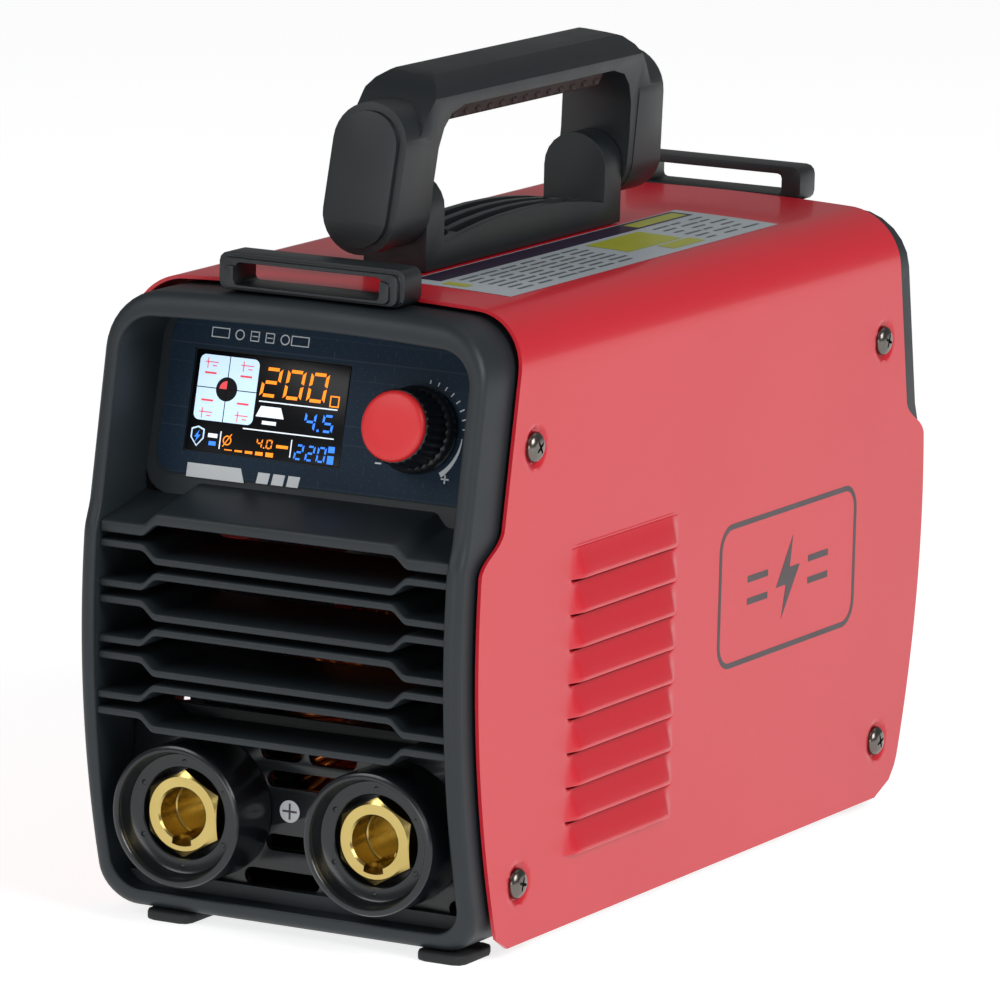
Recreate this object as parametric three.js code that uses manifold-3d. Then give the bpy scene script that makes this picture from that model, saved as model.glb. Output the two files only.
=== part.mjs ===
// A stick welding inverter: a suitcase-sized welding power source with a red steel cover,
// black plastic ends, a fold-over carrying handle and two bayonet sockets for welding leads.
// Millimetres. +Z is up, the control end faces -Y, +X is to the right of someone facing it.
// The origin is on the floor, under the middle of the case.
import * as THREE from "three";
import { mergeVertices } from "three/addons/utils/BufferGeometryUtils.js";
import Module from "manifold-3d";

const wasm = await Module();
wasm.setup();

// ---- driving dimensions ------------------------------------------------------------------------
const GAP = 0.3; // air between pieces that touch
const SHEET = 1; // thickness of the cover's steel

const COVER_HALF_WIDTH = 56.8;
const COVER_BOTTOM = 3;
const COVER_TOP = 165; // where the flat top meets the corner rounds
const COVER_CROWN = 1; // how much the top rises in the middle
const COVER_CORNER = 15;

const END_HALF_WIDTH = 54.8; // plastic ends, just inside the cover
const END_TOP = 163;
const FRONT_REACH = 135.3; // from the middle of the case to the foremost point of the front rim
const REAR_REACH = 130.3;
const COVER_REACH = 127.9; // from the middle of the case to the cover's edge
const BELLY = 84; // height at which both ends bulge the most
const BULGE_RADIUS = 230;
const WAIST_LOW = 103; // the ends step back between these heights, then lean
const WAIST_HIGH = 109;
const LEAN = 0.175; // how far the upper half leans back, per millimetre of height

const PANEL_LEAN = 0.224; // angle of the control panel from upright, in radians
const PANEL_Y = -110.3; // the panel's face at the height below
const PANEL_Z = 113;

const BLADE_Y = -132.5; // front edges of the grille blades
const BLADE_DEPTH = 35;
const BLADE_THICKNESS = 2;
const GRILLE_TOP = 103.2; // height of the ends of the uppermost blade
const GRILLE_PITCH = 14.45;
const GRILLE_PAIR = 4.2; // between the ends of the two blades around one opening
const GRILLE_LIFT = 3.2; // how far a blade's middle stands off its ends
const GRILLE_OPENINGS = 4;

const SOCKET_X = 27.9;
const SOCKET_Y = -127.1; // the brass faces
const SOCKET_Z = 30.3;
const SOCKET_BORE = 6.6;
const COLLAR_RADIUS = 18.5;
const COLLAR_PROUD = 4.1; // how far a collar's rim stands in front of the brass
const PLATE_Y = -113.5; // front of the plate that carries the sockets
const PLATE_THICKNESS = 2.5;

const KNOB_X = 27;
const KNOB_Z = 132; // height of the knob's centre on the leaning panel
const DISPLAY_X = -17.3;
const DISPLAY_Z = 133.2;

const HANDLE_Y = -19; // middle of the handle
const PIVOT_Z = 181.3;
const HANDLE_TILT = 0.08; // the handle rests a few degrees to the right
const LUG_RADIUS = 9.2;
const ARM_RADIUS = 10.3;
const BASE_HALF_LENGTH = 53.6;
const LUG_THICKNESS = 9.4;
const ARM_INSIDE = 54.1; // from the middle of the handle to the inner face of an arm
const ARM_OUTSIDE = 74.9;

const LOUVRE_COUNT = 9;
const LOUVRE_PITCH = 8.97;
const LOUVRE_LOWEST = 21.2;
const LOUVRE_Y = -50;
const LOUVRE_LENGTH = 60;
const LOUVRE_RISE = 5.4;
const LOUVRE_PROUD = 2.3;

const UPPER_SCREW = { y: 100.3, z: 130.2 };
const LOWER_SCREW = { y: 103.6, z: 18.9 };

// ---- finishes ----------------------------------------------------------------------------------
const finish = (color, roughness, metalness = 0) => ({ color, roughness, metalness });
const RED_PAINT = finish(0xc8202c, 0.3);
const GREY_ABS = finish(0x303436, 0.6);
const BLACK_ABS = finish(0x101214, 0.25);
const RED_ABS = finish(0xd42a2a, 0.5);
const SOFT_GRIP = finish(0x3a2a28, 0.8);
const FILM = finish(0x27303a, 0.5);
const DARK_GLASS = finish(0x080a10, 0.1);
const LABEL_FILM = finish(0xb4bcc2, 0.4);
const BRASS = finish(0xc8a84a, 0.3, 1);
const STEEL = finish(0x9a9a98, 0.35, 1);
const ALUMINIUM = finish(0xb8babc, 0.5, 1);
const COPPER = finish(0xb06a3a, 0.4, 1);
const FERRITE = finish(0x2c2c2e, 0.7);
const RUBBER = finish(0x18191b, 0.85);
const BOARD = finish(0x1e5a34, 0.5);

// ---- solids ------------------------------------------------------------------------------------
// A closed three.js geometry as a manifold-3d solid.
function solid(geometry) {
  const bare = geometry.index ? geometry.toNonIndexed() : geometry.clone();
  bare.deleteAttribute("normal");
  bare.deleteAttribute("uv");
  const merged = mergeVertices(bare, 1e-4);
  const vertProperties = new Float32Array(merged.attributes.position.array);
  const triVerts = new Uint32Array(merged.index.array);
  return new wasm.Manifold(new wasm.Mesh({ numProp: 3, vertProperties, triVerts }));
}

const join = (...solids) => solids.reduce((all, one) => all.add(one));
const cut = (body, ...tools) => tools.reduce((rest, tool) => rest.subtract(tool), body);

function geometryOf(body) {
  const { numProp, vertProperties, triVerts } = body.getMesh();
  const count = vertProperties.length / numProp;
  const points = new Float32Array(count * 3);
  for (let i = 0; i < count; i++) {
    points.set(vertProperties.subarray(i * numProp, i * numProp + 3), i * 3);
  }
  const geometry = new THREE.BufferGeometry();
  geometry.setAttribute("position", new THREE.BufferAttribute(points, 3));
  geometry.setIndex(new THREE.BufferAttribute(new Uint32Array(triVerts), 1));
  geometry.computeVertexNormals();
  return geometry;
}

// Adds a named mesh, cut from a solid, to a group.
function piece(group, name, body, look) {
  const mesh = new THREE.Mesh(geometryOf(body), new THREE.MeshStandardMaterial(look));
  mesh.name = name;
  group.add(mesh);
  return mesh;
}

// ---- shapes ------------------------------------------------------------------------------------
const shapeOf = (points) => new THREE.Shape(points.map(([x, y]) => new THREE.Vector2(x, y)));

function extrude(shape, depth, segments = 6) {
  return new THREE.ExtrudeGeometry(shape, { depth, bevelEnabled: false, curveSegments: segments });
}

// An outline drawn in X and Z, carried from y0 back to y1.
function alongY(shape, y0, y1, segments) {
  return extrude(shape, y1 - y0, segments).rotateX(Math.PI / 2).translate(0, y1, 0);
}

const Y_TO_X = new THREE.Matrix4().makeBasis(
  new THREE.Vector3(0, 1, 0),
  new THREE.Vector3(0, 0, 1),
  new THREE.Vector3(1, 0, 0),
);

// An outline drawn in Y and Z, carried from x0 to x1.
function alongX(shape, x0, x1, segments) {
  return extrude(shape, x1 - x0, segments).applyMatrix4(Y_TO_X).translate(x0, 0, 0);
}

function box(x0, x1, y0, y1, z0, z1) {
  const block = new THREE.BoxGeometry(x1 - x0, y1 - y0, z1 - z0);
  return solid(block.translate((x0 + x1) / 2, (y0 + y1) / 2, (z0 + z1) / 2));
}

// Cylinders lying along X, lying along Y and standing along Z.
function rodX(radius, x0, x1, y, z, sides = 20) {
  const rod = new THREE.CylinderGeometry(radius, radius, x1 - x0, sides);
  return solid(rod.rotateZ(Math.PI / 2).translate((x0 + x1) / 2, y, z));
}

function rodY(radius, y0, y1, x, z, sides = 24) {
  const rod = new THREE.CylinderGeometry(radius, radius, y1 - y0, sides);
  return solid(rod.translate(x, (y0 + y1) / 2, z));
}

function rodZ(radius, z0, z1, x, y, sides = 24) {
  const rod = new THREE.CylinderGeometry(radius, radius, z1 - z0, sides);
  return solid(rod.rotateX(Math.PI / 2).translate(x, y, (z0 + z1) / 2));
}

// A profile of [radius, y] points turned about the Y axis.
function turned(profile, sides = 28) {
  return solid(new THREE.LatheGeometry(profile.map(([r, y]) => new THREE.Vector2(r, y)), sides));
}

function rectangle(x0, x1, y0, y1, radius = 0, segments = 4) {
  if (radius === 0) return shapeOf([[x0, y0], [x1, y0], [x1, y1], [x0, y1]]);
  const points = [];
  const corners = [[x1, y0, -1], [x1, y1, 0], [x0, y1, 1], [x0, y0, 2]];
  for (const [x, y, quarter] of corners) {
    const cx = x === x1 ? x1 - radius : x0 + radius;
    const cy = y === y1 ? y1 - radius : y0 + radius;
    for (let i = 0; i <= segments; i++) {
      const angle = (quarter + i / segments) * (Math.PI / 2);
      points.push([cx + radius * Math.cos(angle), cy + radius * Math.sin(angle)]);
    }
  }
  return shapeOf(points);
}

// ---- the outlines that the case is built on ------------------------------------------------------
// Right half of the case's section, from the bottom up to the middle of the top.
function halfSection(halfWidth, bottom, top, corner, footCorner) {
  const points = [];
  if (footCorner > 0) {
    for (let i = 0; i <= 4; i++) {
      const angle = (-1 + i / 4) * (Math.PI / 2);
      const x = halfWidth - footCorner + footCorner * Math.cos(angle);
      points.push([x, bottom + footCorner + footCorner * Math.sin(angle)]);
    }
  } else {
    points.push([halfWidth, bottom]);
  }
  const sideTop = top - corner;
  const rise = sideTop - bottom - footCorner;
  const steps = 14;
  for (let i = 1; i < steps; i++) points.push([halfWidth, bottom + footCorner + (rise * i) / steps]);
  for (let i = 0; i <= 6; i++) {
    const angle = (i / 6) * (Math.PI / 2);
    const x = halfWidth - corner + corner * Math.cos(angle);
    points.push([x, sideTop + corner * Math.sin(angle)]);
  }
  const flat = halfWidth - corner;
  for (const share of [2 / 3, 1 / 3, 0]) {
    points.push([flat * share, top + COVER_CROWN * (1 - share * share)]);
  }
  return points;
}

// The whole section, counter-clockwise from the lower right.
function section(halfWidth, bottom, top, corner, footCorner = 0) {
  const right = halfSection(halfWidth, bottom, top, corner, footCorner);
  const left = right.slice(0, -1).reverse().map(([x, z]) => [-x, z]);
  return [...right, ...left];
}

// How far an end stands from the middle of the case at a height, for a reach at the belly.
function endReach(reach, z, shoulder) {
  const bulge = (height) => reach - (height - BELLY) ** 2 / (2 * BULGE_RADIUS);
  if (z <= WAIST_LOW) return bulge(z);
  const above = bulge(WAIST_LOW) - shoulder;
  if (z >= WAIST_HIGH) return above - (z - WAIST_HIGH) * LEAN;
  return bulge(WAIST_LOW) - (shoulder * (z - WAIST_LOW)) / (WAIST_HIGH - WAIST_LOW);
}

const RIM_SHOULDER = 2.4;
const COVER_SHOULDER = 11;
const frontReach = (z) => endReach(FRONT_REACH, z, RIM_SHOULDER);
const rearReach = (z) => endReach(REAR_REACH, z, RIM_SHOULDER);
const coverReach = (z) => endReach(COVER_REACH, z, COVER_SHOULDER);

// ---- cover -------------------------------------------------------------------------------------
const COVER_FRONT_CORNER = 5;
const COVER_REAR_CORNER = 10;
const LAST_REACH = 140; // past both ends of the case

function coverSide() {
  const heights = [20, 35, 50, 65, 84, 95, WAIST_LOW, WAIST_HIGH + 3, 170];
  const front = heights.map((z) => [-coverReach(z), z]);
  const rear = heights.map((z) => [coverReach(z), z]).reverse();
  const low = COVER_BOTTOM;
  const frontLow = coverReach(low);
  return shapeOf([
    [-frontLow + COVER_FRONT_CORNER, low],
    [frontLow - COVER_REAR_CORNER, low],
    [frontLow - COVER_REAR_CORNER * 0.3, low + COVER_REAR_CORNER * 0.3],
    [coverReach(low + COVER_REAR_CORNER), low + COVER_REAR_CORNER],
    ...rear.reverse(),
    ...front.reverse(),
    [-coverReach(low + COVER_FRONT_CORNER), low + COVER_FRONT_CORNER],
    [-frontLow + COVER_FRONT_CORNER * 0.3, low + COVER_FRONT_CORNER * 0.3],
  ]);
}

// One louvre pushed out of a side: a wedge that is open at its lower edge.
function louvre(side, lowerEdge) {
  const wall = 0.8;
  const inner = COVER_HALF_WIDTH - SHEET;
  const outer = COVER_HALF_WIDTH + LOUVRE_PROUD;
  const wedge = (inset, length) => {
    const points = [
      [inner - 0.2, lowerEdge],
      [outer - inset, lowerEdge],
      [outer - inset, lowerEdge + 1],
      [COVER_HALF_WIDTH - inset, lowerEdge + LOUVRE_RISE - inset],
      [inner - 0.2, lowerEdge + LOUVRE_RISE - inset],
    ];
    const outline = shapeOf(points.map(([x, z]) => [side * x, z]));
    return solid(alongY(outline, LOUVRE_Y - length / 2, LOUVRE_Y + length / 2));
  };
  const shell = wedge(0, LOUVRE_LENGTH);
  const air = join(
    wedge(wall, LOUVRE_LENGTH - 2 * wall).translate([0, 0, -0.01]),
    box(...mirrorX(side, inner - 1, outer - wall), LOUVRE_Y - LOUVRE_LENGTH / 2 + wall,
      LOUVRE_Y + LOUVRE_LENGTH / 2 - wall, lowerEdge - 0.5, lowerEdge + 0.5),
  );
  return { shell, air };
}

// The X range [x0, x1] on the right side, or its mirror image on the left.
const mirrorX = (side, x0, x1) => (side > 0 ? [x0, x1] : [-x1, -x0]);

const SCREW_PLACES = [];
for (const side of [1, -1]) {
  for (const end of [-1, 1]) {
    SCREW_PLACES.push({ side, end, level: "upper", y: end * UPPER_SCREW.y, z: UPPER_SCREW.z });
    SCREW_PLACES.push({ side, end, level: "lower", y: end * LOWER_SCREW.y, z: LOWER_SCREW.z });
  }
}

const DIMPLE_RADIUS = 4.9;
const DIMPLE_DEPTH = 1;

function buildCover() {
  const outer = section(COVER_HALF_WIDTH, COVER_BOTTOM - 5, COVER_TOP, COVER_CORNER);
  const inner = section(
    COVER_HALF_WIDTH - SHEET, COVER_BOTTOM - 6, COVER_TOP - SHEET, COVER_CORNER - SHEET,
  );
  const block = solid(alongY(shapeOf(outer), -LAST_REACH, LAST_REACH));
  const hollow = solid(alongY(shapeOf(inner), -LAST_REACH - 1, LAST_REACH + 1));
  const side = solid(alongX(coverSide(), -70, 70));
  let cover = cut(block, hollow).intersect(side);
  for (const place of SCREW_PLACES) {
    const floor = COVER_HALF_WIDTH - DIMPLE_DEPTH;
    const cup = mirrorX(place.side, floor - SHEET, COVER_HALF_WIDTH - 0.01);
    const well = mirrorX(place.side, floor, COVER_HALF_WIDTH + 1);
    const hole = mirrorX(place.side, floor - 5, floor + 5);
    cover = cover.add(rodX(DIMPLE_RADIUS + SHEET, ...cup, place.y, place.z));
    cover = cut(cover, rodX(DIMPLE_RADIUS, ...well, place.y, place.z));
    cover = cut(cover, rodX(2.3, ...hole, place.y, place.z, 12));
  }
  for (const side of [1, -1]) {
    for (let i = 0; i < LOUVRE_COUNT; i++) {
      const { shell, air } = louvre(side, LOUVRE_LOWEST + i * LOUVRE_PITCH);
      cover = cut(cover.add(shell), air);
    }
  }
  return cut(cover, ...handleBolts(2.9));
}

// ---- plastic ends ------------------------------------------------------------------------------
const RIM_WIDTH = 4.4;
const WALL_BACK = 96; // the thick walls end here, the thin tongue a little further in
const TONGUE_BACK = 92;
const RIM_ROUND = 2;

const rimInside = () => section(END_HALF_WIDTH - RIM_WIDTH, 7.8, 156.5, 9, 8);

// The frame of one end, drawn towards -Y: a rim whose face follows the end's bulge and lean.
function endFrame(reachAt) {
  const outside = section(END_HALF_WIDTH, 3, END_TOP, 15, 10);
  const insetOutside = section(END_HALF_WIDTH - RIM_ROUND, 3 + RIM_ROUND, END_TOP - RIM_ROUND, 13, 8);
  const face = (points, setBack) => {
    const heights = [-5, 15, 30, 45, 65, 84, WAIST_LOW, WAIST_HIGH, 175];
    const profile = heights.map((z) => [-reachAt(z) + setBack, z]);
    const outline = shapeOf([...profile, [-WALL_BACK, 175], [-WALL_BACK, -5]].reverse());
    const slab = solid(alongX(outline, -70, 70));
    return solid(alongY(shapeOf(points), -LAST_REACH, -WALL_BACK)).intersect(slab);
  };
  const halfway = section(
    END_HALF_WIDTH - RIM_ROUND * 0.3, 3 + RIM_ROUND * 0.3, END_TOP - RIM_ROUND * 0.3, 14.4, 9.4,
  );
  const body = join(
    face(outside, RIM_ROUND), face(halfway, RIM_ROUND * 0.3), face(insetOutside, 0),
  );
  const tongue = solid(alongY(shapeOf(outside), -WALL_BACK - 1, -TONGUE_BACK));
  const tongueHollow = section(END_HALF_WIDTH - 2, 5, END_TOP - 2, 13, 8);
  const bore = solid(alongY(shapeOf(tongueHollow), -WALL_BACK, -TONGUE_BACK + 1));
  const through = solid(alongY(shapeOf(rimInside()), -LAST_REACH - 1, -WALL_BACK + 1));
  return cut(join(body, tongue), bore, through);
}

function cutScrewSeats(frame, end) {
  let drilled = frame;
  for (const place of SCREW_PLACES.filter((one) => one.end === end)) {
    const seat = mirrorX(place.side, COVER_HALF_WIDTH - DIMPLE_DEPTH - SHEET - GAP, 70);
    const hole = mirrorX(place.side, 40, 70);
    drilled = cut(
      drilled,
      rodX(DIMPLE_RADIUS + SHEET + GAP, ...seat, place.y, place.z, 16),
      rodX(2.3, ...hole, place.y, place.z, 12),
    );
  }
  return drilled;
}

// A blade's centre line: flat ends, and a middle that stands up or hangs down.
function bladeLine(endHeight, lift) {
  const half = END_HALF_WIDTH - RIM_WIDTH + 0.5;
  const right = [[half, 0], [38.5, 0], [37.4, 0.12], [34.9, 0.88], [33.8, 1]];
  const line = right.map(([x, share]) => [x, endHeight + share * lift]);
  return [...line, ...line.slice().reverse().map(([x, z]) => [-x, z])];
}

function blade(endHeight, lift, thickness) {
  const line = bladeLine(endHeight, lift);
  const lower = line.map(([x, z]) => [x, z - thickness / 2]);
  const upper = line.map(([x, z]) => [x, z + thickness / 2]).reverse();
  return shapeOf([...lower, ...upper].reverse());
}

const SHELF_SLOPE = 0.21;

// The hood above the grille: the uppermost blade, carried back and up to the panel.
function hood() {
  const depth = PANEL_Y - BLADE_Y + 1;
  const outline = blade(GRILLE_TOP, GRILLE_LIFT, 3.4);
  const slope = new THREE.Matrix4().makeShear(0, 0, 0, SHELF_SLOPE, 0, 0);
  const slab = extrude(outline, depth).rotateX(Math.PI / 2).translate(0, depth, 0);
  return solid(slab.applyMatrix4(slope).translate(0, BLADE_Y, 0));
}

function grille() {
  const blades = [];
  for (let i = 0; i < GRILLE_OPENINGS; i++) {
    const height = GRILLE_TOP - i * GRILLE_PITCH;
    const over = blade(height, GRILLE_LIFT, BLADE_THICKNESS);
    const under = blade(height - GRILLE_PAIR, -GRILLE_LIFT, BLADE_THICKNESS);
    if (i > 0) blades.push(solid(alongY(over, BLADE_Y, BLADE_Y + BLADE_DEPTH)));
    const back = i === GRILLE_OPENINGS - 1 ? PLATE_Y - GAP : BLADE_Y + BLADE_DEPTH;
    blades.push(solid(alongY(under, BLADE_Y, back)));
  }
  return join(hood(), ...blades);
}

const PANEL_HALF_WIDTH = 50.6;
const PANEL_THICKNESS = 2.5;
const WINDOW = { halfWidth: 22.8, halfHeight: 13.2 };

// Places a solid drawn on an upright panel (x, depth behind the face, height above PANEL_Z).
function ontoPanel(body) {
  const degrees = -(PANEL_LEAN * 180) / Math.PI;
  return body.rotate([degrees, 0, 0]).translate([0, PANEL_Y, PANEL_Z]);
}

// Distance up the leaning panel of a point at a height.
const upPanel = (z) => (z - PANEL_Z) / Math.cos(PANEL_LEAN);

function controlPanel() {
  const low = -4;
  const high = upPanel(157.5);
  const plate = box(-PANEL_HALF_WIDTH, PANEL_HALF_WIDTH, 0, PANEL_THICKNESS, low, high);
  const middle = upPanel(DISPLAY_Z);
  const window = box(
    DISPLAY_X - WINDOW.halfWidth, DISPLAY_X + WINDOW.halfWidth, -1, 5,
    middle - WINDOW.halfHeight, middle + WINDOW.halfHeight,
  );
  return ontoPanel(cut(plate, window, rodY(4, -1, 5, KNOB_X, upPanel(KNOB_Z), 16)));
}

function buildFrontBezel() {
  const ledge = box(-50.6, 50.6, PLATE_Y - 3, PLATE_Y - GAP, 5, 11.5);
  const frame = join(endFrame(frontReach), controlPanel(), grille(), ledge);
  return cutScrewSeats(frame, -1);
}

// ---- rear end ----------------------------------------------------------------------------------
const REAR_PANEL_Y = 112; // outer face of the rear panel
const FAN_Z = 62;
const FAN_HALF = 40;
const FAN_THICKNESS = 25;
const FAN_OPENING = 37.5;
const SWITCH = { x: 24, z: 130, halfWidth: 10.5, halfHeight: 14.5 };
const GLAND = { x: -26, z: 128, radius: 8 };

function buildRearBezel() {
  const turnedRound = endFrame(rearReach).rotate([0, 0, 180]);
  const inside = solid(
    alongY(shapeOf(section(END_HALF_WIDTH - RIM_WIDTH + 0.5, 7, 157.3, 9, 8)), REAR_PANEL_Y - 3, REAR_PANEL_Y),
  );
  const openings = [
    rodY(FAN_OPENING, 100, 120, 0, FAN_Z, 40),
    box(SWITCH.x - SWITCH.halfWidth, SWITCH.x + SWITCH.halfWidth, 100, 120,
      SWITCH.z - SWITCH.halfHeight, SWITCH.z + SWITCH.halfHeight),
    rodY(GLAND.radius + GAP, 100, 120, GLAND.x, GLAND.z),
  ];
  return cutScrewSeats(cut(join(turnedRound, inside), ...openings), 1);
}

const GUARD_RINGS = [12, 20.5, 29, 37];

function buildFanGuard() {
  const y0 = REAR_PANEL_Y + GAP;
  const ring = (radius) => cut(
    rodY(radius + 1, y0, y0 + 2, 0, FAN_Z, 32), rodY(radius - 1, y0 - 1, y0 + 3, 0, FAN_Z, 32),
  );
  const spokes = [];
  for (let i = 0; i < 4; i++) {
    const spoke = box(-40, 40, y0, y0 + 2, -1, 1).rotate([0, 45 * i, 0]);
    spokes.push(spoke.translate([0, 0, FAN_Z]));
  }
  return join(rodY(6, y0, y0 + 2, 0, FAN_Z), ...GUARD_RINGS.map(ring), ...spokes);
}

const FAN_BACK = REAR_PANEL_Y - 3 - GAP;

function buildFanFrame() {
  const y0 = FAN_BACK - FAN_THICKNESS;
  const outline = rectangle(-FAN_HALF, FAN_HALF, FAN_Z - FAN_HALF, FAN_Z + FAN_HALF, 4, 2);
  const block = solid(alongY(outline, y0, FAN_BACK));
  const duct = rodY(38, y0 + 2, FAN_BACK + 1, 0, FAN_Z, 36);
  const mouth = rodY(38, y0 - 1, y0 + 2.5, 0, FAN_Z, 36);
  const bars = [];
  for (let i = 0; i < 3; i++) {
    bars.push(box(0, 39, y0, y0 + 2, -2, 2).rotate([0, 120 * i + 30, 0]).translate([0, 0, FAN_Z]));
  }
  const motor = rodY(14, y0, y0 + 3, 0, FAN_Z);
  return join(cut(block, duct, mouth), ...bars, motor);
}

function buildFanRotor() {
  const y0 = FAN_BACK - FAN_THICKNESS + 4;
  const blades = [];
  for (let i = 0; i < 7; i++) {
    const vane = box(12, 35.5, -0.8, 0.8, -8, 8).rotate([35, 0, 0]);
    blades.push(vane.rotate([0, (360 / 7) * i, 0]).translate([0, y0 + 9, FAN_Z]));
  }
  return join(rodY(15, y0, y0 + 18, 0, FAN_Z), ...blades);
}

function buildSwitchHousing() {
  const { x, z, halfWidth, halfHeight } = SWITCH;
  const body = box(
    x - halfWidth + GAP, x + halfWidth - GAP, REAR_PANEL_Y - 22, REAR_PANEL_Y + GAP,
    z - halfHeight + GAP, z + halfHeight - GAP,
  );
  const flange = box(
    x - halfWidth - 2, x + halfWidth + 2, REAR_PANEL_Y + GAP, REAR_PANEL_Y + GAP + 1.8,
    z - halfHeight - 2, z + halfHeight + 2,
  );
  const well = box(x - 8.5, x + 8.5, REAR_PANEL_Y - 10, REAR_PANEL_Y + 5, z - 12.2, z + 12.2);
  return cut(join(body, flange), well);
}

const ROCKER_PIVOT_Y = REAR_PANEL_Y - 2;

// The rocker, drawn in its "on" position: its upper half is pressed in.
function buildRocker() {
  const outline = shapeOf([[-5, -4], [1.5, -9.8], [6.6, -9.8], [4, 0], [1.5, 9.8], [-5, 4]]);
  const body = solid(alongX(outline, -8, 8));
  return body.translate([SWITCH.x, ROCKER_PIVOT_Y, SWITCH.z]);
}

function buildGland() {
  const tip = FRONT_REACH;
  const face = REAR_PANEL_Y + GAP;
  const body = turned([
    [3.6, REAR_PANEL_Y - 16], [GLAND.radius - GAP, REAR_PANEL_Y - 16], [GLAND.radius - GAP, face],
    [11, face], [11, face + 6], [9.8, face + 7], [9.8, face + 15], [7.5, tip], [3.6, tip],
    [3.6, REAR_PANEL_Y - 16],
  ]);
  return body.translate([GLAND.x, 0, GLAND.z]);
}

function buildGlandNut() {
  const y1 = REAR_PANEL_Y - 3 - GAP;
  const hexagon = rodY(11.5, y1 - 5, y1, GLAND.x, GLAND.z, 6);
  return cut(hexagon, rodY(GLAND.radius + GAP, y1 - 6, y1 + 1, GLAND.x, GLAND.z));
}

// ---- strap loops -------------------------------------------------------------------------------
const LOOP = { halfWidth: 26.7, depth: 12, height: 9.6, slotHalfWidth: 21, chamfer: 3 };

const LOOP_Y = 106.8; // inner face of a loop

// A flat loop that a carrying strap threads through, drawn towards -Y with its base at z = 0.
function strapLoop() {
  const { halfWidth, depth, height, slotHalfWidth, chamfer } = LOOP;
  const outline = rectangle(-halfWidth, halfWidth, 0, height, 2.5, 3);
  const inset = rectangle(-halfWidth + chamfer, halfWidth - chamfer, 1, height - chamfer, 1.5, 3);
  const slot = rectangle(-slotHalfWidth, slotHalfWidth, 1.8, 7.4, 1.2, 2);
  const block = solid(alongY(outline, -depth + chamfer, 0));
  const nose = solid(alongY(inset, -depth, 0));
  const middle = rectangle(-halfWidth + 1.2, halfWidth - 1.2, 0.3, height - 1.2, 2, 3);
  const step = solid(alongY(middle, -depth + 1.2, 0));
  return cut(join(block, step, nose), solid(alongY(slot, -depth - 1, 1)));
}

// ---- controls ----------------------------------------------------------------------------------
function buildOverlay() {
  const low = 1.6;
  const high = upPanel(154);
  const film = rectangle(-47.5, 47.5, low, high, 5, 4);
  const middle = upPanel(DISPLAY_Z);
  const window = rectangle(
    DISPLAY_X - WINDOW.halfWidth, DISPLAY_X + WINDOW.halfWidth,
    middle - WINDOW.halfHeight, middle + WINDOW.halfHeight,
  );
  const sheet = solid(alongY(film, -0.3 - GAP, -GAP));
  return cut(sheet, solid(alongY(window, -2, 2)), rodY(4, -2, 2, KNOB_X, upPanel(KNOB_Z), 16));
}

function buildDisplayLens() {
  const middle = upPanel(DISPLAY_Z);
  const halfWidth = WINDOW.halfWidth - GAP;
  const halfHeight = WINDOW.halfHeight - GAP;
  return box(
    DISPLAY_X - halfWidth, DISPLAY_X + halfWidth, 0.2, 1.8, middle - halfHeight, middle + halfHeight,
  );
}

const BOARD_BEHIND = 8; // the control board's face behind the panel's

function buildDisplayModule() {
  const middle = upPanel(DISPLAY_Z);
  const back = BOARD_BEHIND - GAP;
  const front = PANEL_THICKNESS + GAP;
  return box(DISPLAY_X - 25, DISPLAY_X + 25, front, back, middle - 16, middle + 16);
}

const SHAFT_RADIUS = 2.9;

function buildControlBoard() {
  const board = box(-46, 46, BOARD_BEHIND, BOARD_BEHIND + 1.6, 2, upPanel(152));
  return cut(board, rodY(SHAFT_RADIUS, 0, 20, KNOB_X, upPanel(KNOB_Z), 12));
}

function buildEncoderBody() {
  const z = upPanel(KNOB_Z);
  const block = box(KNOB_X - 7, KNOB_X + 7, PANEL_THICKNESS + GAP, BOARD_BEHIND - GAP, z - 7, z + 7);
  return cut(block, rodY(SHAFT_RADIUS + GAP, 0, 20, KNOB_X, z, 20));
}

function buildEncoderShaft() {
  const z = upPanel(KNOB_Z);
  return rodY(SHAFT_RADIUS, -11, BOARD_BEHIND - 1.6, KNOB_X, z, 20);
}

const KNOB = { clearance: 1.6, length: 14.5, baseRadius: 11.2, capRadius: 9.2, capDepth: 1.6 };

function buildKnobBody() {
  const { clearance, length, baseRadius, capRadius, capDepth } = KNOB;
  const body = turned([
    [0, -clearance - length + capDepth + GAP],
    [capRadius - 1.2, -clearance - length + capDepth + GAP],
    [capRadius, -clearance - length + capDepth + 1.2],
    [capRadius + 0.9, -clearance - 4],
    [baseRadius, -clearance - 3],
    [baseRadius, -clearance],
    [0, -clearance],
  ], 36);
  let fluted = body;
  for (let i = 0; i < 18; i++) {
    const angle = (i / 18) * Math.PI * 2;
    const x = Math.cos(angle) * (capRadius + 1.6);
    const z = Math.sin(angle) * (capRadius + 1.6);
    fluted = cut(fluted, rodY(1.2, -clearance - length, -clearance - 4, x, z, 6));
  }
  const bore = rodY(SHAFT_RADIUS + GAP, -11.4, 1, 0, 0, 20);
  return cut(fluted, bore).translate([KNOB_X, 0, upPanel(KNOB_Z)]);
}

function buildKnobCap() {
  const { clearance, length, capRadius, capDepth } = KNOB;
  const face = -clearance - length;
  const disc = turned([
    [0, face], [capRadius - 1, face], [capRadius - 0.2, face + 0.5], [capRadius - 0.2, face + capDepth],
    [0, face + capDepth],
  ], 36);
  return disc.translate([KNOB_X, 0, upPanel(KNOB_Z)]);
}

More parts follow.
